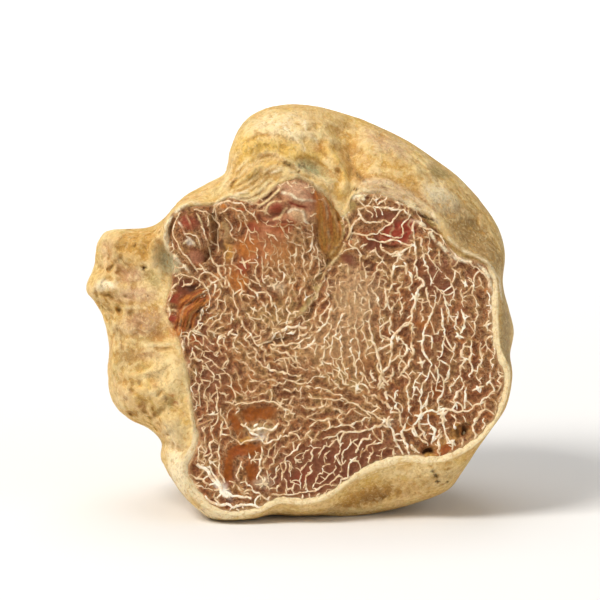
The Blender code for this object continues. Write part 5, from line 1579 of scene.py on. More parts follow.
class Nodes:
    """Adds nodes to one node tree and joins them."""

    def __init__(self, tree: bpy.types.NodeTree) -> None:
        """Works on this tree."""
        self.tree = tree

    def add(self, kind: str, settings: dict | None = None, **sockets: object) -> bpy.types.Node:
        """A node.

        Args:
            kind: its type.
            settings: its own properties.
            sockets: what goes into each input, by its name with _ for a space.

        Returns:
            The node.
        """
        node = self.tree.nodes.new(kind)
        for name, value in (settings or {}).items():
            setattr(node, name, value)
        for name, value in sockets.items():
            self.feed(node.inputs[name.replace("_", " ")], value)
        return node

    def feed(self, socket: bpy.types.NodeSocket, value: object) -> None:
        """Joins an output to a socket, or sets the socket's own value."""
        if isinstance(value, bpy.types.NodeSocket):
            self.tree.links.new(value, socket)
        else:
            socket.default_value = value

    def math(self, operation: str, first: object, second: object = 0.0) -> bpy.types.NodeSocket:
        """A sum, product or the like of two values."""
        node = self.tree.nodes.new("ShaderNodeMath")
        node.operation = operation
        self.feed(node.inputs[0], first)
        self.feed(node.inputs[1], second)
        return node.outputs[0]

    def mix(self, share: object, first: object, second: object, blend: str = "MIX") -> bpy.types.NodeSocket:
        """Two colours mixed."""
        node = self.tree.nodes.new("ShaderNodeMix")
        node.data_type, node.blend_type = "RGBA", blend
        self.feed(node.inputs[0], share)
        for socket, value in ((node.inputs[6], first), (node.inputs[7], second)):
            self.feed(socket, value if isinstance(value, bpy.types.NodeSocket) else colour(value))
        return node.outputs[2]

    def between(self, value: object, low: float, high: float, start: float = 0.0, end: float = 1.0) -> object:
        """The value from low to high spread smoothly from start to end."""
        node = self.tree.nodes.new("ShaderNodeMapRange")
        node.interpolation_type = "SMOOTHSTEP"
        for socket, number in zip(node.inputs, (value, low, high, start, end)):
            self.feed(socket, number)
        return node.outputs[0]

    def over(
        self, base: object, tone: object, value: object, low: float, high: float, start: float, end: float
    ) -> bpy.types.NodeSocket:
        """The base under a tone that comes up from start to end as the value goes from low to high."""
        tone = tone.value if isinstance(tone, Tone) else tone
        return self.mix(self.between(value, low, high, start, end), base, tone)

    def ramp(self, value: object, tones: Sequence) -> bpy.types.NodeSocket:
        """Colours read off an even ramp of tones."""
        node = self.add("ShaderNodeValToRGB", Fac=value)
        steps = node.color_ramp.elements
        while len(steps) < len(tones):
            steps.new(0.5)
        for index, tone in enumerate(tones):
            steps[index].position = index / (len(tones) - 1)
            steps[index].color = colour(tone)
        return node.outputs["Color"]

    def cloud(self, place: object, size: float, detail: float = 3.0, twist: float = 0.0) -> object:
        """Smooth noise whose patches are about this size in millimetres."""
        node = self.add(
            "ShaderNodeTexNoise", Vector=place, Scale=1 / size, Detail=detail, Roughness=0.55,
            Distortion=twist,
        )
        return node.outputs["Fac"]

    def shoved(self, place: object, far: float) -> bpy.types.NodeSocket:
        """The place pushed about, so that what is read there has ragged edges."""
        warp = self.add("ShaderNodeTexNoise", Vector=place, Scale=1.7 / far, Detail=3.0)
        shove = self.add("ShaderNodeVectorMath", {"operation": "MULTIPLY_ADD"})
        self.feed(shove.inputs[0], warp.outputs["Color"])
        shove.inputs[1].default_value = (far, far, far)
        self.feed(shove.inputs[2], place)
        return shove.outputs[0]

    def picked(self, place: object, scale: float, far: float) -> bpy.types.NodeSocket:
        """A value from 0 to 1 that each patch picks for itself."""
        cell = self.add(
            "ShaderNodeTexVoronoi", {"feature": "SMOOTH_F1"}, Vector=self.shoved(place, far), Scale=scale,
            Smoothness=0.35,
        )
        return self.add("ShaderNodeSeparateColor", Color=cell.outputs["Color"]).outputs[0]

    def value(self, name: str) -> bpy.types.Node:
        """The reader of one of the mesh's own attributes."""
        return self.add("ShaderNodeAttribute", {"attribute_name": name})

    def placed(self, group: bpy.types.NodeTree, **sockets: object) -> bpy.types.Node:
        """A node group with its own values."""
        return self.add("ShaderNodeGroup", {"node_tree": group}, **sockets)


def new_group(name: str, inputs: dict[str, tuple], outputs: dict[str, str]) -> tuple[Nodes, object, object]:
    """An empty shader group.

    Args:
        name: the group's name.
        inputs: each input's kind and default value.
        outputs: each output's kind.

    Returns:
        The group's nodes, its input node and its output node.
    """
    tree = bpy.data.node_groups.new(name, "ShaderNodeTree")
    for label, (kind, value) in inputs.items():
        socket = tree.interface.new_socket(label, in_out="INPUT", socket_type=f"NodeSocket{kind}")
        socket.default_value = value
    for label, kind in outputs.items():
        tree.interface.new_socket(label, in_out="OUTPUT", socket_type=f"NodeSocket{kind}")
    nodes = Nodes(tree)
    return nodes, tree.nodes.new("NodeGroupInput"), tree.nodes.new("NodeGroupOutput")


def mottle_group() -> bpy.types.NodeTree:
    """Three tones in soft patches: large ones, and smaller ones over them."""
    nodes, given, result = new_group(
        "mottle",
        {
            "Place": ("Vector", (0, 0, 0)), "Large": ("Float", 6.0), "Small": ("Float", 1.5),
            "Light": ("Color", (1, 1, 1, 1)), "Middle": ("Color", (0.5, 0.5, 0.5, 1)),
            "Dark": ("Color", (0, 0, 0, 1)), "Contrast": ("Float", 0.5),
        },
        {"Color": "Color"},
    )
    masks = []
    for label, twist in (("Large", 0.4), ("Small", 0.8)):
        scale = nodes.math("DIVIDE", 1.0, given.outputs[label])
        cloud = nodes.add(
            "ShaderNodeTexNoise", Vector=given.outputs["Place"], Scale=scale, Detail=4.0,
            Roughness=0.6, Distortion=twist,
        )
        masks.append(nodes.between(cloud.outputs["Fac"], 0.36, 0.64))
    wide = nodes.mix(masks[0], given.outputs["Middle"], given.outputs["Light"])
    share = nodes.math("MULTIPLY", masks[1], given.outputs["Contrast"])
    nodes.feed(result.inputs["Color"], nodes.mix(share, wide, given.outputs["Dark"]))
    return nodes.tree


def specks_group() -> bpy.types.NodeTree:
    """Small round specks, scattered with gaps: one in a speck, nought outside."""
    nodes, given, result = new_group(
        "specks",
        {"Place": ("Vector", (0, 0, 0)), "Apart": ("Float", 1.0), "Radius": ("Float", 0.2),
         "Share": ("Float", 0.5)},
        {"Mask": "Float"},
    )
    scale = nodes.math("DIVIDE", 1.0, given.outputs["Apart"])
    cells = nodes.add("ShaderNodeTexVoronoi", Vector=given.outputs["Place"], Scale=scale)
    pick = nodes.add("ShaderNodeSeparateColor", Color=cells.outputs["Color"])
    chosen = nodes.math("LESS_THAN", pick.outputs[0], given.outputs["Share"])
    size = nodes.math("MULTIPLY", given.outputs["Radius"], nodes.math("ADD", pick.outputs[1], 0.4))
    near = nodes.math("SUBTRACT", 1.0, nodes.math("DIVIDE", cells.outputs["Distance"], size))
    soft = nodes.between(near, 0.0, 0.6)
    nodes.feed(result.inputs["Mask"], nodes.math("MULTIPLY", soft, chosen))
    return nodes.tree


def grain_group() -> bpy.types.NodeTree:
    """The height of a fine uneven grain, coarse and fine together."""
    nodes, given, result = new_group(
        "grain",
        {"Place": ("Vector", (0, 0, 0)), "Size": ("Float", 0.5), "Fine": ("Float", 0.4)},
        {"Height": "Float"},
    )
    total = None
    for factor, weight in ((1.0, 1.0), (0.35, given.outputs["Fine"])):
        scale = nodes.math("DIVIDE", 1.0 / factor, given.outputs["Size"])
        cloud = nodes.add(
            "ShaderNodeTexNoise", Vector=given.outputs["Place"], Scale=scale, Detail=3.0, Roughness=0.6
        )
        part = nodes.math("MULTIPLY", cloud.outputs["Fac"], weight)
        total = part if total is None else nodes.math("ADD", total, part)
    nodes.feed(result.inputs["Height"], total)
    return nodes.tree


def tinted_group() -> bpy.types.NodeTree:
    """A base colour with the piece's own tints laid on it, their edges broken up."""
    nodes, given, result = new_group(
        "tinted",
        {"Place": ("Vector", (0, 0, 0)), "Base": ("Color", (1, 1, 1, 1)), "Tint": ("Color", (1, 1, 1, 1)),
         "Strength": ("Float", 0.0), "Rag": ("Float", 0.6)},
        {"Color": "Color"},
    )
    rag = nodes.math("SUBTRACT", nodes.cloud(given.outputs["Place"], 1.1, 4.0, 0.5), 0.5)
    rag = nodes.math("MULTIPLY", rag, given.outputs["Rag"])
    spread = nodes.math("MULTIPLY", rag, nodes.between(given.outputs["Strength"], 0.0, 0.3))
    share = nodes.math("ADD", given.outputs["Strength"], spread)
    nodes.feed(result.inputs["Color"], nodes.mix(
        nodes.between(share, 0.05, 0.95), given.outputs["Base"], given.outputs["Tint"]
    ))
    return nodes.tree


@dataclass(frozen=True)
class Effects:
    """The node groups that the finishes share."""

    mottle: bpy.types.NodeTree
    specks: bpy.types.NodeTree
    grain: bpy.types.NodeTree
    tinted: bpy.types.NodeTree

    @classmethod
    def build(cls) -> "Effects":
        """Makes all of them."""
        return cls(mottle_group(), specks_group(), grain_group(), tinted_group())


@dataclass(frozen=True)
class Finish:
    """What every finish has: a material, its patterns' place in millimetres, and its surface.

    Args:
        effects: the node groups.
        name: the material's name.
        rough: size of the patches of roughness, and the least and most roughness.
        relief: strength and height of the fine relief.
        gloss: how strongly it mirrors.
        glow: how much light goes into it, and how deep.
    """

    effects: Effects
    name: str
    rough: tuple
    relief: tuple
    gloss: float
    glow: tuple

    def start(self) -> tuple[bpy.types.Material, Nodes, object]:
        """The material, its nodes and the place that patterns are read at."""
        material = bpy.data.materials.new(self.name)
        material.use_nodes = True
        nodes = Nodes(material.node_tree)
        place = nodes.add("ShaderNodeTexCoord").outputs["Object"]
        scaled = nodes.add("ShaderNodeVectorMath", {"operation": "SCALE"}, Scale=1 / MM)
        nodes.feed(scaled.inputs[0], place)
        return material, nodes, scaled.outputs[0]

    def mottled(self, nodes: Nodes, place: object, tones: Sequence, **sizes: float) -> object:
        """Light, middle and dark patches."""
        light, middle, dark = (colour(tone) for tone in tones)
        return nodes.placed(
            self.effects.mottle, Place=place, Light=light, Middle=middle, Dark=dark, **sizes
        ).outputs["Color"]

    def tinted(self, nodes: Nodes, place: object, base: object, tints: bpy.types.Node, rag: float) -> object:
        """The base with the piece's own tints on it, their edges this ragged."""
        return nodes.placed(
            self.effects.tinted, Place=place, Base=base, Tint=tints.outputs["Color"],
            Strength=tints.outputs["Alpha"], Rag=rag,
        ).outputs["Color"]

    def grain(self, nodes: Nodes, place: object, size: float, fine: float) -> object:
        """The height of its grain."""
        return nodes.placed(self.effects.grain, Place=place, Size=size, Fine=fine).outputs["Height"]

    def end(self, material: bpy.types.Material, nodes: Nodes, place: object, base: object,
            height: object) -> bpy.types.Material:
        """Joins colour, roughness and relief to the shader, and sets what is the same all over."""
        shader = material.node_tree.nodes["Principled BSDF"]
        size, least, most = self.rough
        strength, distance = self.relief
        weight, depth = self.glow
        nodes.feed(shader.inputs["Base Color"], base)
        rough = nodes.between(nodes.cloud(place, size), 0.3, 0.7, least, most)
        nodes.feed(shader.inputs["Roughness"], rough)
        bump = nodes.add("ShaderNodeBump", Height=height, Strength=strength, Distance=distance * MM)
        nodes.feed(shader.inputs["Normal"], bump.outputs["Normal"])
        shader.inputs["Specular IOR Level"].default_value = self.gloss
        shader.inputs["Subsurface Weight"].default_value = weight
        shader.inputs["Subsurface Scale"].default_value = depth * MM
        return material


@dataclass(frozen=True)
class SkinFinish(Finish):
    """The truffle's outer skin: gold, cream and ochre patches, wisps, pores, soil and painted shade in its
    hollows, and a painted highlight on its ridges.
    """

    name: str = "truffle_skin"
    rough: tuple = (1.7, 0.52, 0.74)
    relief: tuple = (0.8, 0.24)
    gloss: float = 0.18
    glow: tuple = (0.08, 0.7)
    light: tuple = (0.86, 0.64, 0.29)
    middle: tuple = (0.66, 0.41, 0.12)
    dark: tuple = (0.42, 0.22, 0.06)
    blush: tuple = (0.60, 0.37, 0.20)
    patches: tuple = (
        (0.82, 0.60, 0.25), (0.66, 0.36, 0.15), (0.74, 0.46, 0.08), (0.56, 0.40, 0.13), (0.88, 0.72, 0.38),
        (0.56, 0.29, 0.05), (0.74, 0.52, 0.18),
    )
    dirt: tuple = (0.16, 0.08, 0.025)
    pores: tuple = ((0.6, 0.20, 0.22, 0.26), (1.7, 0.10, 0.35, 0.65))

    def build(self) -> bpy.types.Material:
        """Makes the material."""
        material, nodes, place = self.start()
        tones = (self.light, self.middle, self.dark)
        base = self.mottled(nodes, place, tones, Large=6.5, Small=2.0, Contrast=0.45)
        base = nodes.over(base, self.blush, nodes.cloud(place, 3.2, 5.0, 1.0), 0.54, 0.66, 0.0, 0.55)
        base = nodes.over(base, Tone.OLIVE, nodes.cloud(place, 4.8, 5.0, 1.0), 0.55, 0.68, 0.0, 0.50)
        base = nodes.mix(0.38, base, nodes.ramp(nodes.picked(place, 0.42, 2.4), self.patches))
        tints = nodes.value("tint")
        base = self.tinted(nodes, place, base, tints, 0.9)

        edge = nodes.value("edge").outputs["Fac"]
        base = nodes.over(base, Tone.PALE, edge, -0.4, 0.8, 0.80, 0.0)
        drift = nodes.math("MULTIPLY", nodes.cloud(place, 2.6, 4.0), 2.6)
        along = nodes.add("ShaderNodeCombineXYZ", X=nodes.math("MULTIPLY", edge, 1.5), Y=drift)
        layers = nodes.cloud(along.outputs["Vector"], 0.55, 3.0)
        near = nodes.between(edge, 0.6, 1.8, 1.0, 0.0)
        for tone, low, high, start, end in (
            (Tone.OCHRE, 0.53, 0.66, 0.0, 0.45), (Tone.PALE, 0.38, 0.48, 0.6, 0.0),
        ):
            share = nodes.math("MULTIPLY", nodes.between(layers, low, high, start, end), near)
            base = nodes.mix(share, base, tone.value)

        wisps, fine = nodes.cloud(place, 1.3, 6.0, 2.2), nodes.cloud(place, 0.5, 5.0, 0.8)
        base = nodes.over(base, Tone.CREAM, wisps, 0.52, 0.66, 0.0, 0.35)
        base = nodes.over(base, Tone.OCHRE, wisps, 0.34, 0.47, 0.60, 0.0)
        base = nodes.over(base, self.dark, fine, 0.34, 0.50, 0.45, 0.0)
        base = nodes.over(base, self.light, fine, 0.52, 0.64, 0.0, 0.50)
        hollow = nodes.value("hollow").outputs["Fac"]
        # Darker in the hollows: partly soil, partly painted shade.
        soil_and_shade_patches = nodes.between(nodes.cloud(place, 0.9, 5.0, 0.5), 0.38, 0.58, 0.2, 1.0)
        soil_and_shade = nodes.math("MULTIPLY", nodes.between(hollow, 0.008, 0.09, 0.0, 0.60), soil_and_shade_patches)
        base = nodes.mix(soil_and_shade, base, self.dark)
        # Paler on the ridges: a painted cream highlight.
        base = nodes.over(base, Tone.CREAM, hollow, -0.006, -0.05, 0.0, 0.30)

        clean = nodes.over(tints.outputs["Color"], self.dirt, fine, 0.38, 0.54, 0.42, 0.0)
        clean = nodes.over(clean, Tone.CREAM, wisps, 0.52, 0.66, 0.0, 0.45)
        clean = nodes.over(clean, Tone.OCHRE, wisps, 0.34, 0.47, 0.50, 0.0)
        base = nodes.over(base, clean, tints.outputs["Alpha"], 0.60, 0.95, 0.0, 0.65)
        for apart, radius, share, strength in self.pores:
            mask = nodes.placed(self.effects.specks, Place=place, Apart=apart, Radius=radius, Share=share)
            base = nodes.mix(nodes.math("MULTIPLY", mask.outputs["Mask"], strength), base, self.dirt)

        height = nodes.math("ADD", wisps, nodes.math("MULTIPLY", fine, 0.7))
        height = nodes.math("ADD", self.grain(nodes, place, 0.6, 0.6), height)
        height = nodes.math("ADD", height, nodes.math("MULTIPLY", layers, near))
        return self.end(material, nodes, place, base, height)


@dataclass(frozen=True)
class FleshFinish(Finish):
    """The cut flesh: brown cells, no two alike, paler towards the veins and hazed by finer ones."""

    name: str = "truffle_flesh"
    rough: tuple = (0.9, 0.44, 0.70)
    relief: tuple = (0.7, 0.12)
    gloss: float = 0.15
    glow: tuple = (0.06, 0.5)
    light: tuple = (0.44, 0.205, 0.070)
    middle: tuple = (0.27, 0.103, 0.035)
    dark: tuple = (0.14, 0.044, 0.015)
    deep: tuple = (0.065, 0.018, 0.005)
    cells: tuple = (
        (0.085, 0.024, 0.008), (0.23, 0.056, 0.020), (0.31, 0.112, 0.034), (0.46, 0.235, 0.080),
        (0.31, 0.195, 0.066), (0.37, 0.155, 0.085), (0.46, 0.150, 0.028),
    )
    cell_share: float = 0.62
    zones: tuple = (
        (3.4, 0.53, 0.62, 0.50, (0.34, 0.11, 0.036)), (4.4, 0.53, 0.64, 0.45, (0.42, 0.22, 0.080)),
        (2.8, 0.54, 0.64, 0.60, (0.16, 0.045, 0.014)),
    )

    def threads(self, nodes: Nodes, place: object) -> object:
        """Where veins too fine for the mesh run."""
        net = nodes.add(
            "ShaderNodeTexVoronoi", {"feature": "DISTANCE_TO_EDGE"}, Vector=nodes.shoved(place, 1.3),
            Scale=1.75,
        )
        thread = nodes.between(net.outputs["Distance"], 0.02, 0.14, 1.0, 0.0)
        return nodes.math("MULTIPLY", thread, nodes.between(nodes.cloud(place, 1.6), 0.4, 0.6, 0.05, 0.45))

    def build(self) -> bpy.types.Material:
        """Makes the material."""
        material, nodes, place = self.start()
        tones = (self.light, self.middle, self.dark)
        base = self.mottled(nodes, place, tones, Large=4.6, Small=2.0, Contrast=0.4)
        tints = nodes.value("tint")
        base = self.tinted(nodes, place, base, tints, 0.7)
        base = nodes.mix(self.cell_share, base, nodes.ramp(nodes.picked(place, 0.8, 1.3), self.cells))
        for size, low, high, strength, tone in self.zones:
            base = nodes.over(base, tone, nodes.cloud(place, size, 3.0, 0.8), low, high, 0.0, strength)

        away = nodes.value("away").outputs["Fac"]
        patchy = nodes.between(nodes.cloud(place, 0.6, 4.0, 0.8), 0.36, 0.6, 0.1, 0.55)
        heart = nodes.math("MULTIPLY", nodes.between(away, 0.2, 0.5), patchy)
        base = nodes.mix(heart, base, self.dark)
        base = nodes.mix(self.threads(nodes, place), base, Tone.BEIGE.value)
        base = nodes.over(base, Tone.BEIGE, away, 0.10, 0.26, 0.25, 0.0)
        fine = nodes.cloud(place, 0.34, 4.0, 0.4)
        base = nodes.over(base, self.deep, fine, 0.36, 0.50, 0.60, 0.0)
        base = nodes.over(base, self.light, fine, 0.54, 0.68, 0.0, 0.38)
        base = nodes.over(base, Tone.BEIGE, nodes.value("edge").outputs["Fac"], 0.0, 0.6, 0.8, 0.0)
        # Darker in the flesh's hollows: painted shade.
        base = nodes.over(base, self.deep, nodes.value("hollow").outputs["Fac"], 0.004, 0.03, 0.0, 0.4)
        clean = nodes.over(tints.outputs["Color"], self.dark, fine, 0.4, 0.6, 0.35, 0.0)
        base = nodes.over(base, clean, tints.outputs["Alpha"], 0.40, 0.85, 0.0, 0.90)
        return self.end(material, nodes, place, base, self.grain(nodes, place, 0.42, 0.6))


@dataclass(frozen=True)
class VeinFinish(Finish):
    """The veins: cream white where they are strong, sunk into the flesh's own brown where weak."""

    name: str = "truffle_veins"
    rough: tuple = (0.8, 0.35, 0.55)
    relief: tuple = (0.35, 0.04)
    gloss: float = 0.35
    glow: tuple = (0.1, 0.4)
    weak: tuple = (0.46, 0.24, 0.095)
    common: tuple = (0.80, 0.58, 0.355)
    strong: tuple = (0.95, 0.85, 0.69)

    def build(self) -> bpy.types.Material:
        """Makes the material."""
        material, nodes, place = self.start()
        waver = nodes.math("SUBTRACT", nodes.cloud(place, 0.9, 4.0), 0.5)
        waver = nodes.math("MULTIPLY", waver, 2.8)
        pale = nodes.math("ADD", nodes.value("pale").outputs["Fac"], waver)
        base = nodes.over(self.weak, self.common, pale, 0.30, 0.85, 0.0, 1.0)
        base = nodes.over(base, self.strong, pale, 0.85, 1.45, 0.0, 1.0)
        base = nodes.over(base, Tone.BEIGE, nodes.cloud(place, 2.6, 3.0), 0.5, 0.66, 0.0, 0.4)
        return self.end(material, nodes, place, base, self.grain(nodes, place, 0.22, 0.4))


# ---------------------------------------------------------------- pieces
@dataclass
class SkinBody:
    """The whole lobed body as one closed mesh, with a shallow bed for the flesh in its cut.

    Args:
        form: the truffle's form.
        rim_step: spacing of the points along the cut's edge.
        front_step, back_step: spacing of the skin's points beside the cut and at the back's end.
        lip_step, bed_step: the same on the lip inside the cut's edge and on the hidden bed.
        lip_reach: how far in from the edge the finer points go.
        reach_gap: the width between the finer and the coarser points.
        bed_sink: how deep the bed lies under the cut beside the lip.
        bed_edge: how far inside the flesh's border it starts to sink, and has sunk.
        bed_drop: how much deeper it lies further in.
        spread_run: shares of the skin's run where its points start to spread out, and have.
        borders: least and most border width that the edge's pattern is measured by.
    """

    form: Form
    rim_step: float = 0.27
    front_step: float = 0.27
    back_step: float = 0.62
    lip_step: float = 0.26
    bed_step: float = 1.5
    lip_reach: float = 2.0
    reach_gap: float = 0.3
    bed_sink: float = 0.55
    bed_edge: tuple = (-0.25, 0.55)
    bed_drop: float = 2.4
    spread_run: tuple = (0.12, 0.55)
    borders: tuple = (0.2, 1.5)

    def cut_places(self, rim: Points) -> tuple[Points, Points]:
        """The cut side's points (u, v), the rim's first, and how far inside the rim they lie."""
        low, high = rim.min(0), rim.max(0)
        fine, coarse = lattice(low, high, self.lip_step), lattice(low, high, self.bed_step)
        fine_in, coarse_in = self.form.inset(fine), self.form.inset(coarse)
        near = (fine_in > 0.5 * self.lip_step) & (fine_in < self.lip_reach)
        deep = coarse_in > self.lip_reach + self.reach_gap
        places = np.vstack([rim, fine[near], coarse[deep]])
        return places, np.concatenate([np.zeros(len(rim)), fine_in[near], coarse_in[deep]])

    def skin_places(self) -> tuple[Points, Points, Points]:
        """Angle and share of the skin's points, ring by ring, and their place on a flat map."""
        shares, run, radii, stretch = self.form.profile
        angles, rings = [], []
        at, odd = self.front_step * ROW, False
        while at < run[-1] - self.back_step * 0.8:
            spread = smoothstep(*self.spread_run, at / run[-1])
            step = self.front_step + (self.back_step - self.front_step) * spread
            radius = np.interp(at, run, radii)
            count = max(5, round(2 * HALF_TURN * radius / step))
            angles.append((np.arange(count) + 0.5 * odd) * 2 * HALF_TURN / count)
            rings.append(np.full(count, np.interp(at, run, shares)))
            at, odd = at + step * ROW, not odd
        angle, share = np.append(np.concatenate(angles), 0), np.append(np.concatenate(rings), 1)
        scale = np.exp(-np.interp(share, shares, stretch))
        scale[-1] = 0
        return angle, share, np.column_stack([np.cos(angle), np.sin(angle)]) * scale[:, None]

    def build(self, stand: Stand, finish: SkinFinish) -> bpy.types.Object:
        """The finished body.

        Args:
            stand: how it stands, which settles on this body.
            finish: its skin.

        Returns:
            The object.
        """
        rim = self.form.rim.evenly(self.rim_step)
        flat, inset = self.cut_places(rim)
        cut = np.column_stack([flat, np.zeros(len(flat))])
        bed = self.bed_sink * smoothstep(*self.bed_edge, self.form.into_flesh(cut, inset))
        bed *= smoothstep(0.0, 0.3, inset)
        bed += self.bed_drop * smoothstep(self.lip_reach, self.lip_reach + 1.5, inset)
        cut[:, 2] = bed - self.form.front_lift(cut) - self.form.lip(cut, inset)
        cut_faces = fill_sheet(flat, len(rim))

        angle, share, flat_map = self.skin_places()
        rim_angle = np.arctan2(*(rim - CENTRE).T[::-1])
        rim_map = np.column_stack([np.cos(rim_angle), np.sin(rim_angle)])
        skin_faces = fill_sheet(np.vstack([rim_map, flat_map]), len(rim))
        skin = self.form.skin(angle, share)

        beyond = len(cut) - len(rim)
        faces = cut_faces + [
            [index if index < len(rim) else index + beyond for index in reversed(face)]
            for face in skin_faces
        ]
        points = np.vstack([cut, skin])
        stand.settle(points)
        plain = self.form.plain_skin(angle, share)
        tints = tint(np.vstack([cut, plain]), SKIN_TINTS)
        tints[len(cut):, 3] *= self.form.frontness(share)
        width = self.form.border_width(np.vstack([cut, plain]))
        edge = np.concatenate([-inset, self.form.run(share)]) / np.clip(width, *self.borders)
        edge += 4 * (1 - smoothstep(0.15, 0.42, width))
        piece = make_mesh("truffle_body", stand.place(points), faces, {"tint": tints, "edge": edge})
        piece.data.materials.append(finish.build())
        return piece


@dataclass
class CutFlesh:
    """The flesh in the cut: a closed slab whose front sags a little between the veins.

    Args:
        form: the truffle's form.
        edge_inset: how far inside the cut's edge it ends, under the lip.
        front_step, back_step, loop_step: spacing of its points.
        thickness, edge_thickness: of the slab, and at its edge.
        edge_sink: how deep its edge dives under the lip.
        dive_run: how far inside the flesh's border it still dives, and no longer.
        sag: how deep the flesh sags between veins, at its most.
        sag_run: how far from a vein it starts to sag, and has.
        grain: width and height of its fine bumps.
    """

    form: Form
    edge_inset: float = 0.12
    front_step: float = 0.18
    back_step: float = 1.6
    loop_step: float = 0.35
    thickness: float = 2.6
    edge_thickness: float = 0.5
    edge_sink: float = 0.55
    dive_run: tuple = (-0.35, 0.40)
    sag: float = 0.15
    sag_run: tuple = (0.12, 0.6)
    grain: tuple = ((1.2, 0.22), (0.55, 0.15))

    def surface(self, points: Points, inset: Points) -> Points:
        """Depth w of the flesh's front at each (u, v, 0), between veins as well as on them."""
        dive = self.edge_sink * (1 - smoothstep(*self.dive_run, self.form.into_flesh(points, inset)))
        return dive - self.form.front_lift(points) - bumps(points, self.grain)

    def loop(self) -> Points:
        """The slab's outline, (u, v)."""
        rim = self.form.rim.evenly(self.loop_step)
        along = np.roll(rim, -1, 0) - np.roll(rim, 1, 0)
        along /= np.hypot(*along.T)[:, None]
        return rim + self.edge_inset * along[:, ::-1] * (-1, 1)

    def build(self, stand: Stand, strands: list[Strand], finish: FleshFinish) -> bpy.types.Object:
        """The finished slab.

        Args:
            stand: how it stands.
            strands: the veins that the flesh sags between.
            finish: its flesh.

        Returns:
            The object.
        """
        loop = self.loop()
        low, high = loop.min(0), loop.max(0)
        sheets = []
        for step in (self.front_step, self.back_step):
            places = lattice(low, high, step)
            inset = self.form.inset(places)
            keep = inset > self.edge_inset + 0.5 * min(step, self.loop_step)
            flat = np.vstack([loop, places[keep]])
            inset = np.concatenate([self.form.inset(loop), inset[keep]])
            sheets.append((flat, inset, fill_sheet(flat, len(loop))))

        (flat, inset, faces), (back_flat, back_inset, back_faces) = sheets
        away = distances(finder(np.vstack([strand.line for strand in strands])), flat)
        front = np.column_stack([flat, np.zeros(len(flat))])
        front[:, 2] = self.surface(front, inset) + self.sag * smoothstep(*self.sag_run, away)
        back = np.column_stack([back_flat, np.zeros(len(back_flat))])
        back[:, 2] = self.thickness - self.form.front_lift(back)
        back[:len(loop), 2] = front[:len(loop), 2] + self.edge_thickness

        count, beyond = len(loop), len(front)
        faces = faces + [[index + beyond for index in reversed(face)] for face in back_faces]
        for at in range(count):
            after = (at + 1) % count
            faces += [[at, at + beyond, after + beyond], [at, after + beyond, after]]
        points = np.vstack([front, back])
        values = {
            "tint": tint(points, FLESH_TINTS),
            "edge": self.form.into_flesh(points, np.concatenate([inset, back_inset])),
            "away": np.concatenate([away, np.ones(len(back))]),
        }
        piece = make_mesh("cut_flesh", stand.place(points), faces, values)
        piece.data.materials.append(finish.build())
        return piece


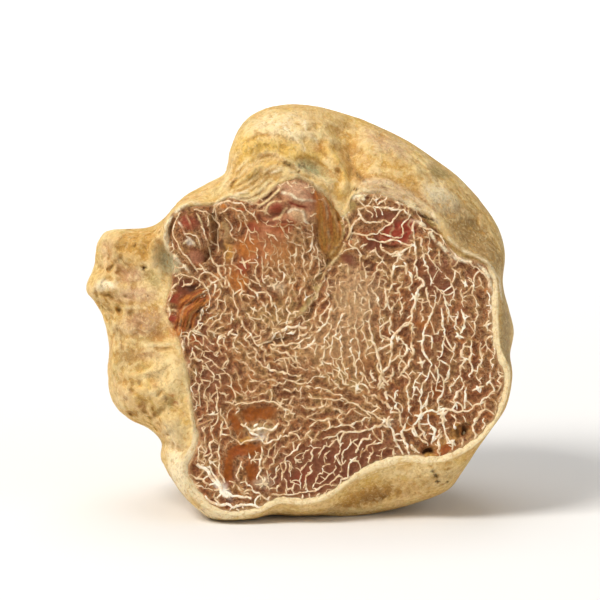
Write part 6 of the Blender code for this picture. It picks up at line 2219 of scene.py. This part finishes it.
@dataclass
class VeinStrands:
    """The veins as flat-topped cords half sunk in the flesh.

    Args:
        flesh: the flesh that they lie on.
        sides: sides of a vein's section.
        flatness: its height as a share of its width.
        sink: how deep its middle lies under the flesh, as a share of its half width.
    """

    flesh: CutFlesh
    sides: int = 5
    flatness: float = 0.42
    sink: float = 0.05

    def paths(self, strands: list[Strand]) -> bpy.types.Object:
        """The veins' middle lines as a mesh of edges that carries their half width and paleness."""
        flat = np.vstack([strand.line for strand in strands])
        girth = np.concatenate([strand.girth for strand in strands])
        pale = np.concatenate([strand.pale for strand in strands])
        points = np.column_stack([flat, np.zeros(len(flat))])
        depth = self.flesh.surface(points, self.flesh.form.inset(flat)) + self.sink * girth
        points[:, 2] = -depth
        edges, start = [], 0
        for strand in strands:
            stop = start + len(strand.line)
            edges += [(index, index + 1) for index in range(start, stop - 1)]
            start = stop
        mesh = bpy.data.meshes.new("vein paths")
        mesh.from_pydata(points.tolist(), edges, [])
        carry(mesh, "girth", girth)
        carry(mesh, "pale", pale)
        return stood("vein paths", mesh)

    def tree(self) -> bpy.types.NodeTree:
        """Sweeps a flattened section along each path, as wide as the path says."""
        tree = bpy.data.node_groups.new("veins along paths", "GeometryNodeTree")
        for label, kind in (
            ("Geometry", "Geometry"), ("Sides", "Int"), ("Flatness", "Float"), ("Finish", "Material")
        ):
            tree.interface.new_socket(label, in_out="INPUT", socket_type=f"NodeSocket{kind}")
        tree.interface.new_socket("Geometry", in_out="OUTPUT", socket_type="NodeSocketGeometry")
        nodes = Nodes(tree)
        given = tree.nodes.new("NodeGroupInput")
        curves = nodes.add("GeometryNodeMeshToCurve", Mesh=given.outputs["Geometry"])
        upright = nodes.add(
            "GeometryNodeSetCurveNormal", {"mode": "Z_UP"}, Curve=curves.outputs["Curve"]
        )
        girth = nodes.add("GeometryNodeInputNamedAttribute", {"data_type": "FLOAT"}, Name="girth")
        section = nodes.add(
            "GeometryNodeCurvePrimitiveCircle", Resolution=given.outputs["Sides"], Radius=1.0
        )
        height = nodes.add("ShaderNodeCombineXYZ", X=1.0, Y=given.outputs["Flatness"], Z=1.0)
        flat = nodes.add(
            "GeometryNodeTransform", Geometry=section.outputs["Curve"], Scale=height.outputs["Vector"]
        )
        swept = nodes.add(
            "GeometryNodeCurveToMesh", Curve=upright.outputs["Curve"],
            Profile_Curve=flat.outputs["Geometry"], Scale=girth.outputs["Attribute"], Fill_Caps=True,
        )
        real = nodes.add("GeometryNodeRealizeInstances", Geometry=swept.outputs["Mesh"])
        finished = nodes.add(
            "GeometryNodeSetMaterial", Geometry=real.outputs["Geometry"],
            Material=given.outputs["Finish"],
        )
        result = tree.nodes.new("NodeGroupOutput")
        nodes.feed(result.inputs["Geometry"], finished.outputs["Geometry"])
        return tree

    def build(self, stand: Stand, strands: list[Strand], finish: VeinFinish) -> bpy.types.Object:
        """The finished veins.

        Args:
            stand: how they stand.
            strands: the net.
            finish: their pale colour.

        Returns:
            The object, one plain mesh.
        """
        paths = self.paths(strands)
        tree = self.tree()
        modifier = paths.modifiers.new("veins", "NODES")
        modifier.node_group = tree
        given = {"Sides": self.sides, "Flatness": self.flatness, "Finish": finish.build()}
        for item in tree.interface.items_tree:
            if item.in_out == "INPUT" and item.name in given:
                modifier[item.identifier] = given[item.name]
        evaluated = paths.evaluated_get(bpy.context.evaluated_depsgraph_get())
        mesh = bpy.data.meshes.new_from_object(evaluated)
        mesh.name = "cut_veins"
        mesh.transform(stand.matrix())
        mesh.shade_smooth()
        paths.modifiers.remove(modifier)
        bpy.data.objects.remove(paths, do_unlink=True)
        return stood("cut_veins", mesh)


# ---------------------------------------------------------------- studio
@dataclass(frozen=True)
class Lamp:
    """A soft square lamp.

    Args:
        name: its name.
        place: where it hangs, in metres.
        size: its side.
        power: in watts.
        tone: its colour.
        aim: what it looks at, the truffle if nothing is given.
        spread: how wide it shines, in degrees.
    """

    name: str
    place: tuple
    size: float
    power: float
    tone: tuple
    aim: tuple | None = None
    spread: float = 180.0


LAMPS = (
    Lamp("key", (-0.50, -0.42, 0.74), 0.40, 8.8, (1.0, 0.97, 0.92)),
    Lamp("fill", (0.60, -0.50, 0.30), 0.60, 1.2, (0.96, 0.98, 1.0)),
    Lamp("top", (-0.05, 0.25, 0.75), 0.50, 1.5, (1.0, 0.99, 0.97)),
    Lamp("back floor", (0.0, 1.1, 1.3), 1.2, 22.0, (1.0, 1.0, 1.0), (0, 1.5, 0), 100.0),
)


@dataclass
class Studio:
    """A plain pale floor, soft lamps and the camera.

    Args:
        target: what the camera looks at, in metres.
        width: how wide a view it has at the target.
        distance: of the camera.
        elevation: of the camera, in degrees.
        sight: nearest and farthest that the camera sees.
        floor_radius, floor_sides: of the round floor.
        floor_gap: how far below the truffle it lies.
        floor_tone, floor_roughness: its surface.
        sky_tone, sky_strength: the light from all round.
    """

    target: Vector
    width: float = 0.0875
    distance: float = 0.62
    elevation: float = 9.0
    sight: tuple = (0.01, 20.0)
    floor_radius: float = 4.0
    floor_sides: int = 96
    floor_gap: float = 0.00005
    floor_tone: tuple = (0.86, 0.855, 0.85)
    floor_roughness: float = 0.7
    sky_tone: tuple = (1.0, 0.985, 0.96)
    sky_strength: float = 0.33

    def lay_floor(self) -> None:
        """A wide round floor."""
        turns = np.linspace(0, 2 * HALF_TURN, self.floor_sides, endpoint=False)
        ring = np.column_stack([np.cos(turns), np.sin(turns), np.zeros(len(turns))]) * self.floor_radius
        mesh = bpy.data.meshes.new("floor")
        mesh.from_pydata((ring - (0, 0, self.floor_gap)).tolist(), [], [list(range(len(turns)))])
        material = bpy.data.materials.new("pale_floor")
        material.use_nodes = True
        shader = material.node_tree.nodes["Principled BSDF"]
        shader.inputs["Base Color"].default_value = colour(self.floor_tone)
        shader.inputs["Roughness"].default_value = self.floor_roughness
        mesh.materials.append(material)
        stood("floor", mesh)

    def turn_to(self, thing: bpy.types.Object, place: Vector, aim: Vector) -> None:
        """Puts a lamp or the camera in its place, looking at its aim."""
        thing.location = place
        thing.rotation_euler = (aim - place).to_track_quat("-Z", "Y").to_euler()

    def hang(self, lamp: Lamp) -> None:
        """Hangs one lamp."""
        light = bpy.data.lights.new(lamp.name, "AREA")
        light.size, light.energy, light.color = lamp.size, lamp.power, lamp.tone
        light.spread = math.radians(lamp.spread)
        aim = self.target if lamp.aim is None else Vector(lamp.aim)
        self.turn_to(stood(lamp.name, light), Vector(lamp.place), aim)

    def set_camera(self) -> None:
        """The camera, a little above the truffle and in front of it."""
        tilt = math.radians(self.elevation)
        camera = bpy.data.cameras.new("camera")
        camera.lens = camera.sensor_width * self.distance / self.width
        camera.clip_start, camera.clip_end = self.sight
        eye = stood("camera", camera)
        place = self.target + self.distance * Vector((0, -math.cos(tilt), math.sin(tilt)))
        self.turn_to(eye, place, self.target)
        bpy.context.scene.camera = eye

    def build(self) -> None:
        """Sets up everything round the truffle."""
        bpy.context.scene.view_settings.view_transform = "Standard"
        world = bpy.data.worlds.new("studio")
        world.use_nodes = True
        sky = world.node_tree.nodes["Background"]
        sky.inputs["Color"].default_value = colour(self.sky_tone)
        sky.inputs["Strength"].default_value = self.sky_strength
        bpy.context.scene.world = world
        self.lay_floor()
        for lamp in LAMPS:
            self.hang(lamp)
        self.set_camera()


def report(piece: bpy.types.Object) -> None:
    """Says how big a finished piece is."""
    piece.data.calc_loop_triangles()
    LOG.info("%s: %d triangles", piece.name, len(piece.data.loop_triangles))


def main() -> None:
    """Builds the truffle and the studio round it."""
    logging.basicConfig(level=logging.INFO, format="%(name)s: %(message)s")
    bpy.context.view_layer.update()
    low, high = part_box("truffle")
    form, effects = Form(), Effects.build()
    middle = (low + high) / 2
    stand = Stand((middle.x / MM, middle.y / MM))
    strands = VeinNet(form).grow()
    LOG.info("veins: %d strands", len(strands))
    flesh_part = CutFlesh(form)
    body = SkinBody(form).build(stand, SkinFinish(effects))
    flesh = flesh_part.build(stand, strands, FleshFinish(effects))
    veins = VeinStrands(flesh_part).build(stand, strands, VeinFinish(effects))
    for piece, slot in ((body, "skin"), (flesh, "flesh"), (veins, "veins")):
        report(piece)
        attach(piece, "root")
    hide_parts("truffle")
    Studio(middle).build()


if __name__ == "__main__":
    main()
